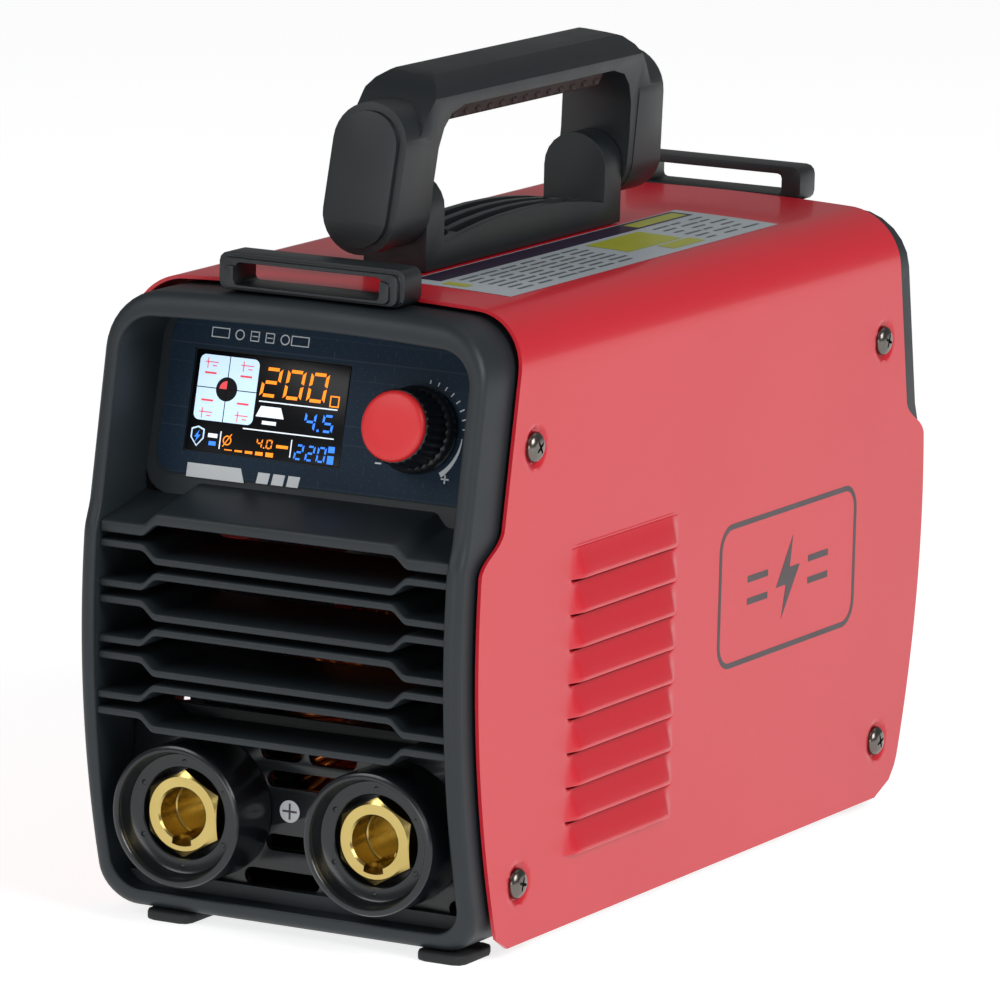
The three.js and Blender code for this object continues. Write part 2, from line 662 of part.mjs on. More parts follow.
// ---- sockets -----------------------------------------------------------------------------------
const PLATE_BEHIND = PLATE_Y - SOCKET_Y; // the plate's face behind the brass faces
const SHANK_RADIUS = 8;
const HEX_RADIUS = 11.4; // corner to centre
const NUT_RADIUS = 13;
const SHANK_END = 34;
const COLLAR_SEAT = 8.4; // the brass hexagon beds this far behind its face

// Everything of a socket is drawn with y = 0 at the brass face and going back from it.
function buildSocketBrass() {
  const hexagon = rodY(HEX_RADIUS, 0, COLLAR_SEAT - GAP, 0, 0, 6);
  const facing = turned([
    [0, 0], [9.6, 0], [HEX_RADIUS + 0.5, 1.1], [HEX_RADIUS + 0.5, SHANK_END], [0, SHANK_END],
  ], 28);
  const shank = rodY(SHANK_RADIUS, 5, SHANK_END, 0, 0);
  const bore = rodY(SOCKET_BORE, -1, 20, 0, 0);
  const key = box(-2.4, 2.4, -1, 16, -SOCKET_BORE - 1.9, 0);
  const bolt = rodY(3.2, 24, SHANK_END + 1, 0, 0, 16);
  return cut(join(hexagon.intersect(facing), shank), bore, key, bolt);
}

function buildCollar() {
  const rim = -COLLAR_PROUD;
  const floor = 4;
  const back = PLATE_BEHIND - GAP;
  const shell = turned([
    [SHANK_RADIUS + GAP, back], [SHANK_RADIUS + GAP, COLLAR_SEAT], [12, COLLAR_SEAT], [12, floor - 0.6],
    [13.6, floor - 0.6], [13.6, floor], [16, floor], [16.4, rim + 0.6], [17, rim],
    [COLLAR_RADIUS - 0.6, rim], [COLLAR_RADIUS, rim + 0.6], [COLLAR_RADIUS, back],
    [SHANK_RADIUS + GAP, back],
  ], 36);
  return shell;
}

function buildSocketNut() {
  const front = PLATE_BEHIND + PLATE_THICKNESS + GAP;
  const hexagon = rodY(NUT_RADIUS, front, front + 6, 0, 0, 6);
  return cut(hexagon, rodY(SHANK_RADIUS + GAP, front - 1, front + 7, 0, 0));
}

const PLATE_SLOTS = [
  { x: -7, z: 46.5, length: 12 }, { x: 8, z: 46.5, length: 14 }, { x: 0, z: 39.5, length: 22 },
  { x: 0, z: 23, length: 22 }, { x: -6, z: 13.5, length: 22 }, { x: 13, z: 11.5, length: 12 },
  { x: 46, z: 12.5, length: 7 }, { x: -46, z: 12.5, length: 7 },
];

function buildSocketPlate() {
  const outline = rectangle(-50.1, 50.1, 8.1, 56, 9, 4);
  const plate = solid(alongY(outline, PLATE_Y, PLATE_Y + PLATE_THICKNESS));
  const holes = [-1, 1].map((side) =>
    rodY(SHANK_RADIUS + GAP, PLATE_Y - 5, PLATE_Y + 5, side * SOCKET_X, SOCKET_Z));
  const slots = PLATE_SLOTS.map(({ x, z, length }) => {
    const slot = rectangle(x - length / 2, x + length / 2, z - 2.2, z + 2.2, 2.1, 3);
    return solid(alongY(slot, PLATE_Y - 5, PLATE_Y + 5));
  });
  return cut(plate, ...holes, ...slots);
}

// ---- handle ------------------------------------------------------------------------------------
const BASE_Z = COVER_TOP + COVER_CROWN + GAP;
const BASE_HALF_WIDTH = 9.1;
const BOLT_Y = 37; // from the middle of the handle
const PIN_RADIUS = 3;

function handleBolts(radius) {
  return [-1, 1].map((end) =>
    rodZ(radius, COVER_TOP - 20, BASE_Z + 20, 0, HANDLE_Y + end * BOLT_Y, 16));
}

function buildHandleBase() {
  const low = BASE_Z - PIVOT_Z;
  const length = BASE_HALF_LENGTH;
  const arch = [];
  for (let i = 0; i <= 8; i++) {
    const t = -1 + i / 4;
    arch.push([t * (length - LUG_THICKNESS), low + 6.2 + 3.8 * (1 - t * t)]);
  }
  const outline = shapeOf([
    [-length, low], [length, low], [length, LUG_RADIUS], [length - LUG_THICKNESS, LUG_RADIUS],
    ...arch.reverse(), [-length + LUG_THICKNESS, LUG_RADIUS], [-length, LUG_RADIUS],
  ]);
  const front = [[-BASE_HALF_WIDTH, low], [BASE_HALF_WIDTH, low], [BASE_HALF_WIDTH, 0]];
  for (let i = 1; i <= 12; i++) {
    const angle = (i / 12) * Math.PI;
    front.push([LUG_RADIUS * Math.cos(angle), LUG_RADIUS * Math.sin(angle)]);
  }
  const silhouette = solid(alongY(shapeOf(front), -100, 100));
  const body = solid(alongX(outline, -10, 10)).intersect(silhouette);
  const channels = [-5.4, 0, 5.4].map((x) =>
    box(x - 1.6, x + 1.6, -length + 20, length - 20, low + 6, 5));
  const pockets = [-1, 1].map((end) => rodZ(5.6, low + 3, 5, 0, end * BOLT_Y));
  const bolts = [-1, 1].map((end) => rodZ(2.9, low - 1, 5, 0, end * BOLT_Y, 16));
  const pinHoles = [-1, 1].map((end) => {
    const range = end > 0 ? [length - 7, length + 1] : [-length - 1, -length + 7];
    return rodY(PIN_RADIUS + GAP, ...range, 0, 0);
  });
  return cut(body, ...channels, ...pockets, ...bolts, ...pinHoles);
}

function buildHandleBolt(end) {
  const z = BASE_Z - PIVOT_Z + 3 + GAP;
  const head = rodZ(5, z, z + 3, 0, end * BOLT_Y, 16);
  const slot = box(-0.7, 0.7, end * BOLT_Y - 3, end * BOLT_Y + 3, z + 1.6, z + 4);
  return join(cut(head, slot), rodZ(2.5, z - 12, z + 0.5, 0, end * BOLT_Y, 12));
}

function buildPivotPin(end) {
  const inner = BASE_HALF_LENGTH - 7 + GAP;
  const outer = ARM_INSIDE + 11;
  const range = end > 0 ? [inner, outer] : [-outer, -inner];
  return rodY(PIN_RADIUS, ...range, 0, 0);
}

const BAR_TOP = 36.4; // above the pivots
const BAR_BOTTOM = 28;
const GRIP_HALF_LENGTH = 43;
const GRIP_DROP = 5.8;
const ARM_LOW = -9; // the arms end here, rounded off below the pivots
const PAD_RADIUS = 10.6;
const PAD_TOP = 29.9;

// Half of the bail's side outline: out along the top, down the arm and back up inside it.
const BAIL_HALF = [
  [48.5, BAR_TOP], [52, 35.5], [55, 33.2], [58, 30], [61, 26], [64.5, 20.5], [66, 15], [66, ARM_LOW],
  [ARM_INSIDE, ARM_LOW], [ARM_INSIDE, 8], [53, 18], [51, 23], [47.5, 26.4], [41, BAR_BOTTOM],
];

function bailSection() {
  const points = [];
  for (let i = 0; i <= 12; i++) {
    const angle = Math.PI + (i / 12) * Math.PI;
    points.push([ARM_RADIUS * Math.cos(angle), ARM_LOW + ARM_RADIUS * (1 + Math.sin(angle))]);
  }
  points.push([ARM_RADIUS, 31], [ARM_RADIUS - 1.5, 33.5], [ARM_RADIUS - 4.5, 36], [ARM_RADIUS - 7, BAR_TOP]);
  points.push([-ARM_RADIUS + 7, BAR_TOP], [-ARM_RADIUS + 4.5, 36], [-ARM_RADIUS + 1.5, 33.5]);
  points.push([-ARM_RADIUS, 31]);
  return shapeOf(points);
}

// The flat-faced pad on the outside of an arm: a stadium whose face leans in towards the top.
function bailPad(end) {
  const stadium = rectangle(-PAD_RADIUS, PAD_RADIUS, ARM_LOW, PAD_TOP, PAD_RADIUS - 0.1, 8);
  const inset = rectangle(
    -PAD_RADIUS + 2, PAD_RADIUS - 2, ARM_LOW + 2, PAD_TOP - 2, PAD_RADIUS - 2.1, 8,
  );
  const side = (back, face) => {
    const outline = [
      [back, ARM_LOW - 1], [face, ARM_LOW - 1], [face, 0], [face - 3.4, PAD_TOP + 1], [back, PAD_TOP + 1],
    ];
    const turnedRound = outline.map(([y, z]) => [end * y, z]);
    return solid(alongX(shapeOf(end > 0 ? turnedRound : turnedRound.reverse()), -20, 20));
  };
  const body = solid(alongY(stadium, -90, 90)).intersect(side(57, ARM_OUTSIDE - 1.8));
  const face = solid(alongY(inset, -90, 90)).intersect(side(57, ARM_OUTSIDE));
  return join(body, face);
}

function buildBail() {
  const left = BAIL_HALF.map(([y, z]) => [-y, z]).reverse();
  const outline = shapeOf([...BAIL_HALF, ...left].reverse());
  const frame = solid(alongX(outline, -20, 20));
  const body = frame.intersect(solid(alongY(bailSection(), -100, 100)));
  const seat = box(-7.2, 7.2, -GRIP_HALF_LENGTH - GAP, GRIP_HALF_LENGTH + GAP, 20, BAR_BOTTOM + 3);
  const pinHoles = [-1, 1].map((end) => {
    const range = end > 0 ? [ARM_INSIDE - 1, ARM_INSIDE + 11.5] : [-ARM_INSIDE - 11.5, -ARM_INSIDE + 1];
    return rodY(PIN_RADIUS + GAP, ...range, 0, 0);
  });
  return cut(join(body, bailPad(-1), bailPad(1)), seat, ...pinHoles);
}

// The soft insert under the bar, rounded for the fingers, with a row of dimples on each side.
function buildGrip() {
  const top = BAR_BOTTOM + 3 - GAP;
  const low = BAR_BOTTOM - GRIP_DROP;
  const outline = shapeOf([
    [-6.9, top], [-6.9, BAR_BOTTOM - 1], [-5.6, low + 1], [-3, low], [3, low], [5.6, low + 1],
    [6.9, BAR_BOTTOM - 1], [6.9, top],
  ]);
  return solid(alongY(outline, -GRIP_HALF_LENGTH, GRIP_HALF_LENGTH));
}

// ---- feet, tray and screws -----------------------------------------------------------------------
const FEET = [
  { name: "foot_front_left", x0: -42, x1: -28.5, end: -1 },
  { name: "foot_front_right", x0: 37, x1: 51, end: -1 },
  { name: "foot_rear_left", x0: -51, x1: -37, end: 1 },
  { name: "foot_rear_right", x0: 28.5, x1: 42, end: 1 },
];
const FOOT_TOP = COVER_BOTTOM - GAP;

function buildFoot({ x0, x1, end }) {
  const outline = rectangle(x0, x1, end > 0 ? 104 : -122, end > 0 ? 122 : -104, 3, 2);
  return solid(extrude(outline, FOOT_TOP));
}

const TRAY = { halfWidth: 54.6, halfLength: 91.4, bottom: 4.3, thickness: 1.2, flange: 12 };

function buildTray() {
  const { halfWidth, halfLength, bottom, thickness, flange } = TRAY;
  const outer = box(-halfWidth, halfWidth, -halfLength, halfLength, bottom, bottom + flange);
  const inner = box(
    -halfWidth + thickness, halfWidth - thickness, -halfLength - 1, halfLength + 1,
    bottom + thickness, bottom + flange + 1,
  );
  return cut(outer, inner);
}

function buildCoverScrew({ side, y, z }) {
  const seat = COVER_HALF_WIDTH - DIMPLE_DEPTH + GAP / 3;
  const head = solid(new THREE.LatheGeometry([
    [0, 0], [4, 0], [4, 0.8], [3.3, 1.8], [1.8, 2.4], [0, 2.5],
  ].map(([r, h]) => new THREE.Vector2(r, h)), 16).rotateZ(-Math.PI / 2));
  const cross = join(box(1.4, 3, -1.8, 1.8, -0.4, 0.4), box(1.4, 3, -0.4, 0.4, -1.8, 1.8));
  const shank = rodX(1.95, -7, 0.2, 0, 0, 12);
  const screw = join(cut(head, cross), shank);
  return screw.rotate([0, 0, side > 0 ? 0 : 180]).translate([side * seat, y, z]);
}

function buildTopLabel() {
  const z = COVER_TOP + 0.35;
  return box(10.5, 41.5, -87, 64, z, z + 1).intersect(labelCurve());
}

// A thin skin that lies just above the cover's crowned top.
function labelCurve() {
  const flat = COVER_HALF_WIDTH - COVER_CORNER;
  const top = [];
  for (let i = 0; i <= 12; i++) {
    const x = -flat + (flat * i) / 6;
    const share = x / flat;
    top.push([x, COVER_TOP + COVER_CROWN * (1 - share * share) + GAP]);
  }
  const upper = top.map(([x, z]) => [x, z + 0.3]).reverse();
  return solid(alongY(shapeOf([...top, ...upper]), -100, 100));
}

// ---- inside ------------------------------------------------------------------------------------
const FLOOR = TRAY.bottom + TRAY.thickness;
const BOARD_Z = FLOOR + 8;
const BOARD_TOP = BOARD_Z + 1.6;

function buildMainBoard() {
  return box(-46, 46, -88, 74, BOARD_Z, BOARD_TOP);
}

// A finned heatsink: a back plate with fins that run along the airflow.
const FIN_PITCH = 11;

function buildHeatsink(x0, front, finCount) {
  const z0 = BOARD_TOP + GAP;
  const plate = box(x0, x0 + 4, front, 34, z0, z0 + finCount * FIN_PITCH - 4);
  const fins = [];
  for (let i = 0; i < finCount; i++) {
    const low = z0 + 2 + i * FIN_PITCH;
    fins.push(box(x0 + 3, x0 + 22, front, 34, low, low + 2));
  }
  return join(plate, ...fins);
}

const TRANSFORMER = { x: 26, y: 10, z: BOARD_TOP + GAP };

function buildTransformerCore() {
  const { x, y, z } = TRANSFORMER;
  const block = box(x - 21, x + 21, y - 12, y + 12, z, z + 46);
  const windows = [-1, 1].map((side) => {
    const range = mirrorX(side, 7.3, 15.5);
    return box(x + range[0], x + range[1], y - 20, y + 20, z + 7, z + 39);
  });
  return cut(block, ...windows);
}

function buildTransformerWinding() {
  const { x, y, z } = TRANSFORMER;
  const outline = (grow) => rectangle(x - 7 - grow, x + 7 + grow, y - 12 - grow, y + 12 + grow, 3, 3);
  const outer = solid(extrude(outline(7.5), 30).translate(0, 0, z + 8));
  return cut(outer, box(x - 7.3, x + 7.3, y - 12.4, y + 12.4, z, z + 60));
}

// A ring choke wound with thick copper, standing on edge behind the grille.
const CHOKE = { x: 8, y: -76.8, ring: 26, winding: 9 };

function buildChoke() {
  const ring = new THREE.TorusGeometry(CHOKE.ring, CHOKE.winding, 12, 36).rotateX(Math.PI / 2);
  return solid(ring.translate(CHOKE.x, CHOKE.y, BOARD_TOP + GAP + CHOKE.ring + CHOKE.winding));
}

function buildCapacitor() {
  return rodZ(15, BOARD_TOP + GAP, BOARD_TOP + GAP + 42, 22, 52, 24);
}

function buildBridge() {
  return box(-44, -16, 44, 72, BOARD_TOP + GAP, BOARD_TOP + GAP + 10);
}

// A copper strip that runs down from a socket's shank to the board.
function buildBusbar() {
  const strip = box(-6, 6, SHANK_END + GAP, SHANK_END + GAP + 2, -14.2, 9);
  return cut(strip, rodY(3.4, SHANK_END - 2, SHANK_END + 5, 0, 0, 16));
}

function buildBusbarBolt() {
  const face = SHANK_END + GAP + 2 + GAP;
  return join(rodY(5.5, face, face + 4, 0, 0, 6), rodY(2.9, 25, face + 1, 0, 0, 16));
}

// ---- assembly ------------------------------------------------------------------------------------
const inverter = new THREE.Group();

piece(inverter, "cover", buildCover(), RED_PAINT);
piece(inverter, "front_bezel", buildFrontBezel(), GREY_ABS);
piece(inverter, "rear_bezel", buildRearBezel(), GREY_ABS);
piece(inverter, "base_tray", buildTray(), STEEL);
piece(inverter, "top_label", buildTopLabel(), LABEL_FILM);
for (const foot of FEET) piece(inverter, foot.name, buildFoot(foot), RUBBER);
for (const place of SCREW_PLACES) {
  const where = `${place.end < 0 ? "front" : "rear"}_${place.level}_${place.side > 0 ? "right" : "left"}`;
  piece(inverter, `cover_screw_${where}`, buildCoverScrew(place), STEEL);
}

const controls = new THREE.Group();
controls.position.set(0, PANEL_Y, PANEL_Z);
controls.rotation.x = -PANEL_LEAN;
inverter.add(controls);
piece(controls, "control_overlay", buildOverlay(), FILM);
piece(controls, "display_lens", buildDisplayLens(), DARK_GLASS);
piece(controls, "display_module", buildDisplayModule(), ALUMINIUM);
piece(controls, "control_board", buildControlBoard(), BOARD);
piece(controls, "encoder_body", buildEncoderBody(), STEEL);
piece(controls, "encoder_shaft", buildEncoderShaft(), STEEL);
piece(controls, "knob_body", buildKnobBody(), BLACK_ABS);
piece(controls, "knob_cap", buildKnobCap(), RED_ABS);

piece(inverter, "socket_plate", buildSocketPlate(), BLACK_ABS);
for (const [name, side] of [["minus", -1], ["plus", 1]]) {
  const socket = new THREE.Group();
  socket.position.set(side * SOCKET_X, SOCKET_Y, SOCKET_Z);
  inverter.add(socket);
  piece(socket, `socket_collar_${name}`, buildCollar(), BLACK_ABS);
  piece(socket, `socket_brass_${name}`, buildSocketBrass(), BRASS);
  piece(socket, `socket_nut_${name}`, buildSocketNut(), STEEL);
  piece(socket, `busbar_${name}`, buildBusbar(), COPPER);
  piece(socket, `busbar_bolt_${name}`, buildBusbarBolt(), STEEL);
}

for (const [name, end] of [["front", -1], ["rear", 1]]) {
  const loop = piece(inverter, `strap_loop_${name}`, strapLoop(), GREY_ABS);
  loop.position.set(0, end * LOOP_Y, END_TOP + COVER_CROWN + GAP);
  loop.rotation.z = end > 0 ? Math.PI : 0;
}

const handle = new THREE.Group();
handle.position.set(0, HANDLE_Y, PIVOT_Z);
inverter.add(handle);
piece(handle, "handle_base", buildHandleBase(), GREY_ABS);
const bail = new THREE.Group();
bail.rotation.y = HANDLE_TILT;
handle.add(bail);
piece(bail, "handle_bail", buildBail(), GREY_ABS);
piece(bail, "handle_grip", buildGrip(), SOFT_GRIP);
for (const [name, end] of [["front", -1], ["rear", 1]]) {
  piece(handle, `handle_pin_${name}`, buildPivotPin(end), STEEL);
  piece(handle, `handle_bolt_${name}`, buildHandleBolt(end), STEEL);
}

piece(inverter, "fan_guard", buildFanGuard(), BLACK_ABS);
piece(inverter, "fan_frame", buildFanFrame(), BLACK_ABS);
piece(inverter, "fan_rotor", buildFanRotor(), BLACK_ABS);
piece(inverter, "switch_housing", buildSwitchHousing(), BLACK_ABS);
piece(inverter, "switch_rocker", buildRocker(), RED_ABS);
piece(inverter, "cable_gland", buildGland(), BLACK_ABS);
piece(inverter, "gland_nut", buildGlandNut(), BLACK_ABS);

piece(inverter, "main_board", buildMainBoard(), BOARD);
piece(inverter, "heatsink_left", buildHeatsink(-50, -86, 7), ALUMINIUM);
piece(inverter, "heatsink_middle", buildHeatsink(-19, -66, 6), ALUMINIUM);
piece(inverter, "transformer_core", buildTransformerCore(), FERRITE);
piece(inverter, "transformer_winding", buildTransformerWinding(), COPPER);
piece(inverter, "output_choke", buildChoke(), COPPER);
piece(inverter, "capacitor", buildCapacitor(), RUBBER);
piece(inverter, "bridge_rectifier", buildBridge(), BLACK_ABS);

export default inverter;
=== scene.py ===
"""The looks of a stick welding inverter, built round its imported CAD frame.

Lengths are worked out in millimetres and turned to metres where a mesh is made.
+Z is up, the control end faces -Y and +X is to the right of someone facing it.
"""

import math

import bmesh
import bpy
from mathutils import Matrix, Vector


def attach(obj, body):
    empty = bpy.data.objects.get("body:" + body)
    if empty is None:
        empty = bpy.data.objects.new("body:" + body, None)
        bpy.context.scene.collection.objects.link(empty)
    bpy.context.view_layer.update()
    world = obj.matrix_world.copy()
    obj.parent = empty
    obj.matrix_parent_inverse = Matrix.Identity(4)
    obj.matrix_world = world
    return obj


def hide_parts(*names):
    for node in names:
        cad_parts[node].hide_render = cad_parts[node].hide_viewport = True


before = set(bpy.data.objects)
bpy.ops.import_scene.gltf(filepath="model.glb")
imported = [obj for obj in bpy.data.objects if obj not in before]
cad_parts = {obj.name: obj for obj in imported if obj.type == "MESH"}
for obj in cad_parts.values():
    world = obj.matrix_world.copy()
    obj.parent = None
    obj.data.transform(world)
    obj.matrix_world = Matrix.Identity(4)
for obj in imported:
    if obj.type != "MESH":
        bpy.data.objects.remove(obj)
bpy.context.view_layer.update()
MM = 0.001

# ---- sizes shared with the CAD, in millimetres and radians ---------------------------------------
COVER_HALF_WIDTH, COVER_TOP, COVER_BOTTOM, COVER_CORNER = 56.8, 165.0, 3.0, 15.0
CROWN = 1.0
END_HALF_WIDTH, END_TOP = 54.8, 163.0
FRONT_REACH, COVER_REACH = 135.3, 127.9
# Both ends bow out most at the belly, step in at the waist and lean back above it.
BELLY, BULGE_RADIUS, WAIST_LOW, WAIST_HIGH, LEAN = 84.0, 230.0, 103.0, 109.0, 0.175
RIM_SHOULDER, COVER_SHOULDER = 2.4, 11.0
PANEL_LEAN, PANEL_Y, PANEL_Z = 0.224, -110.3, 113.0
KNOB_X, KNOB_Z = 27.0, 132.0
DISPLAY_X, DISPLAY_Z, DISPLAY_HALF_WIDTH, DISPLAY_HALF_HEIGHT = -17.3, 133.2, 22.8, 13.2
SOCKET_X, SOCKET_Y, SOCKET_Z = 27.9, -127.1, 30.3
PLATE_Y, PLATE_GAP = -113.5, 0.3
BLADE_Y, BLADE_DEPTH, BLADE_THICKNESS = -132.5, 35.0, 2.0
# The grille's blades stand in pairs, and their middles are lifted or lowered by the lift.
GRILLE_TOP, GRILLE_PITCH, GRILLE_PAIR, GRILLE_LIFT = 103.2, 14.45, 4.2, 3.2
LOUVRE_COUNT, LOUVRE_PITCH, LOUVRE_LOWEST, LOUVRE_PROUD = 9, 8.97, 21.2, 2.25
LOUVRE_FRONT, LOUVRE_BACK = -79.8, -20.2
# Each cover screw's distance from the middle of the case, and its height.
SCREW_PLACES = [(100.3, 130.2), (103.6, 18.9)]
HANDLE_Y, PIVOT_Z, HANDLE_TILT = -19.0, 181.3, 0.08

# ---- colour and node helpers ---------------------------------------------------------------------


def linear(hex_colour):
    """An sRGB hex colour as the linear RGBA that a socket takes."""
    channels = [int(hex_colour[i : i + 2], 16) / 255 for i in (0, 2, 4)]
    return [c / 12.92 if c <= 0.04045 else ((c + 0.055) / 1.055) ** 2.4 for c in channels] + [1.0]


def add(tree, kind, sockets=None, **settings):
    """Adds a node, sets its properties, and fills its sockets with values or links."""
    node = tree.nodes.new(kind)
    for key, value in settings.items():
        setattr(node, key, value)
    for key, value in (sockets or {}).items():
        if isinstance(value, bpy.types.NodeSocket):
            tree.links.new(value, node.inputs[key])
        else:
            node.inputs[key].default_value = value
    return node


def per_mm(size):
    """Texture scale of a pattern whose features are this many millimetres across."""
    return 1 / (size * MM)


def finish(name, colour, shade, roughness, grain, depth, spread=0.06, mottle=14.0, **shader):
    """A surface with mottled colour and roughness, and a grain of a size and depth in millimetres."""
    material = bpy.data.materials.new(name)
    material.use_nodes = True
    material.diffuse_color = linear(colour)
    tree = material.node_tree
    tree.nodes.clear()
    coords = add(tree, "ShaderNodeTexCoord").outputs["Object"]
    cloud = add(tree, "ShaderNodeTexNoise", {"Vector": coords, "Scale": per_mm(mottle), "Detail": 5.0})
    fine = add(tree, "ShaderNodeTexNoise", {"Vector": coords, "Scale": per_mm(grain), "Detail": 3.0})
    tint = add(
        tree, "ShaderNodeMix",
        {"Factor": cloud.outputs["Fac"], "A": linear(colour), "B": linear(shade)},
        data_type="RGBA",
    )
    gloss = add(
        tree, "ShaderNodeMapRange",
        {"Value": cloud.outputs["Fac"], "To Min": roughness - spread, "To Max": roughness + spread},
    )
    bump = add(
        tree, "ShaderNodeBump",
        {"Height": fine.outputs["Fac"], "Strength": 1.0, "Distance": depth * MM},
    )
    shading = add(
        tree, "ShaderNodeBsdfPrincipled",
        {
            "Base Color": tint.outputs["Result"],
            "Roughness": gloss.outputs["Result"],
            "Normal": bump.outputs["Normal"],
        },
        name="Surface",
    )
    for key, value in shader.items():
        shading.inputs[key.replace("_", " ")].default_value = value
    add(tree, "ShaderNodeOutputMaterial", {"Surface": shading.outputs["BSDF"]})
    return material


def plain_metal(name, colour, shade, roughness, grain, depth, **shader):
    """A metal keeps the shader's own index of refraction."""
    return finish(name, colour, shade, roughness, grain, depth, spread=0.05, Metallic=1.0, **shader)


# ---- finishes ------------------------------------------------------------------------------------
# Powder-coated steel: a glossy red skin with the faint orange peel of baked powder.
POWDER_COAT = finish(
    "red_powder_coat", "c9182a", "c21527", 0.36, 1.6, 0.003, spread=0.03, mottle=40,
    Coat_Weight=0.25, Coat_Roughness=0.08,
)
# Moulded ABS with a fine spark-eroded texture: dark, soft highlights, slightly sparkling grain.
TEXTURED_ABS = finish(
    "textured_dark_abs", "1f262a", "1b2226", 0.48, 0.45, 0.015, spread=0.05, Specular_IOR_Level=0.4
)
# The handle's ABS is a little smoother and picks up a wider sheen.
HANDLE_ABS = finish("handle_abs", "12191c", "0f1518", 0.42, 0.6, 0.01, spread=0.06)
# Glossy moulded polycarbonate round the sockets, with the soft waves of a polished mould.
POLISHED_BLACK = finish("polished_black_plastic", "121518", "15191c", 0.22, 3.0, 0.004, spread=0.05)
# Ribbed black plastic of the knob's skirt.
KNOB_BLACK = finish("knob_black_plastic", "121417", "181a1e", 0.32, 0.8, 0.006)
# Satin red ABS of the knob's cap and the rocker.
RED_ABS = finish("satin_red_abs", "d3262b", "cb2328", 0.42, 0.5, 0.006, spread=0.04)
# Soft-touch rubber on the underside of the handle's bar: brownish black with almost no shine.
GRIP_RUBBER = finish("soft_grip_rubber", "33221f", "291b19", 0.7, 0.5, 0.02)
# Moulded rubber of the feet: matt, a little grey where light grazes it.
FOOT_RUBBER = finish("moulded_foot_rubber", "1b1d1f", "151618", 0.7, 0.6, 0.02)
# Printed polyester film on the control panel: satin blue-black.
PANEL_FILM = finish(
    "printed_panel_film", "12283a", "102334", 0.55, 0.7, 0.004, spread=0.04, Specular_IOR_Level=0.2
)
# Screen-printed ink: flat, opaque and slightly uneven.
PRINT_GREY = finish("print_light_grey", "c9cdd0", "bfc4c8", 0.5, 0.8, 0.002)
PRINT_DARK = finish("print_dark_grey", "45393c", "3c3236", 0.45, 0.8, 0.002)
# The top label's printed vinyl: smooth, with the broad waves of a film laid by hand.
LABEL_SILVER = finish("label_silver_film", "aeb6ba", "a4adb3", 0.35, 2.0, 0.002)
LABEL_PURPLE = finish("label_dark_purple", "2a1c34", "30213b", 0.35, 2.0, 0.002)
LABEL_GREEN = finish("label_yellow_green", "a9ad35", "9da12c", 0.35, 2.0, 0.002)
LABEL_LINES = finish("label_line_grey", "5d6368", "53595e", 0.4, 2.0, 0.002)
# The blank front of a liquid crystal display: near black and glossy.
DISPLAY_BLACK = finish(
    "display_black_glass", "030408", "04050a", 0.25, 8.0, 0.001, spread=0.02, Specular_IOR_Level=0.2
)
# Turned brass: bright yellow, with the fine lines left by the lathe.
TURNED_BRASS = plain_metal("turned_brass", "cfb976", "b8a15f", 0.22, 0.5, 0.004)
# Zinc-plated steel: pale grey with a soft spangle.
ZINC_STEEL = plain_metal("zinc_plated_steel", "a4a6a4", "8f918f", 0.35, 0.6, 0.004)
# Nickel-plated screw heads: dark and shiny, with the faint dents of cold heading.
SCREW_NICKEL = plain_metal("nickel_plated_screw", "7f7a74", "5c5854", 0.22, 0.4, 0.008)
# Mill-finished aluminium extrusion: dull and pale.
EXTRUDED_ALUMINIUM = plain_metal("extruded_aluminium", "b6b9bb", "a6a9ab", 0.45, 0.5, 0.006)
# Enamelled copper wire: orange brown with a varnished gloss.
ENAMELLED_COPPER = plain_metal("enamelled_copper", "f08a3a", "d86c26", 0.3, 0.8, 0.004, Coat_Weight=0.5)
# Pressed and fired ferrite: charcoal, matt and slightly granular.
SINTERED_FERRITE = finish("sintered_ferrite", "2c2c2e", "232325", 0.65, 0.5, 0.02)
# Green solder mask over glass fibre: glossy, waved by the tracks beneath.
SOLDER_MASK = finish("green_solder_mask", "174a2c", "113b22", 0.35, 2.0, 0.01)
# Steel wire dipped in black plastic.
BLACK_WIRE = finish("black_coated_wire", "101214", "0c0d0f", 0.4, 0.8, 0.006)
# Glass-filled plastic of the fan: dull black.
FAN_PLASTIC = finish("fan_black_plastic", "131517", "0f1112", 0.5, 0.6, 0.008)
# Moulded nylon of the cable gland: matt black.
BLACK_NYLON = finish("black_nylon", "15171a", "101214", 0.55, 0.7, 0.01)
# Shrunk sleeve of the capacitor's can: dark blue and smooth.
CAN_SLEEVE = finish("capacitor_sleeve", "1d2430", "171d27", 0.3, 2.0, 0.002)


def lit(name, colour, strength):
    """A lit part of the display: it glows a little and has a trace of gloss."""
    material = finish(name, colour, colour, 0.4, 1.0, 0.001, spread=0.02)
    shading = material.node_tree.nodes["Surface"]
    shading.inputs["Emission Color"].default_value = linear(colour)
    shading.inputs["Emission Strength"].default_value = strength
    return material


# The display's lit segments, each in its own colour, and its unlit ground.
LIT_PALE = lit("display_pale_blue", "b9d3ea", 0.75)
LIT_ORANGE = lit("display_orange", "ff8a10", 0.9)
LIT_BLUE = lit("display_blue", "2f7bf0", 0.95)
LIT_WHITE = lit("display_white", "dfe8f2", 0.6)
LIT_RED = lit("display_red", "d8434a", 0.6)
LIT_BLACK = finish("display_unlit", "05060a", "07080d", 0.2, 4.0, 0.001)

# ---- mesh helpers --------------------------------------------------------------------------------


def shade(mesh, angle):
    """Smooth shading, with edges sharper than this many degrees left crisp."""
    mesh.shade_smooth()
    mesh.set_sharp_from_angle(angle=math.radians(angle))


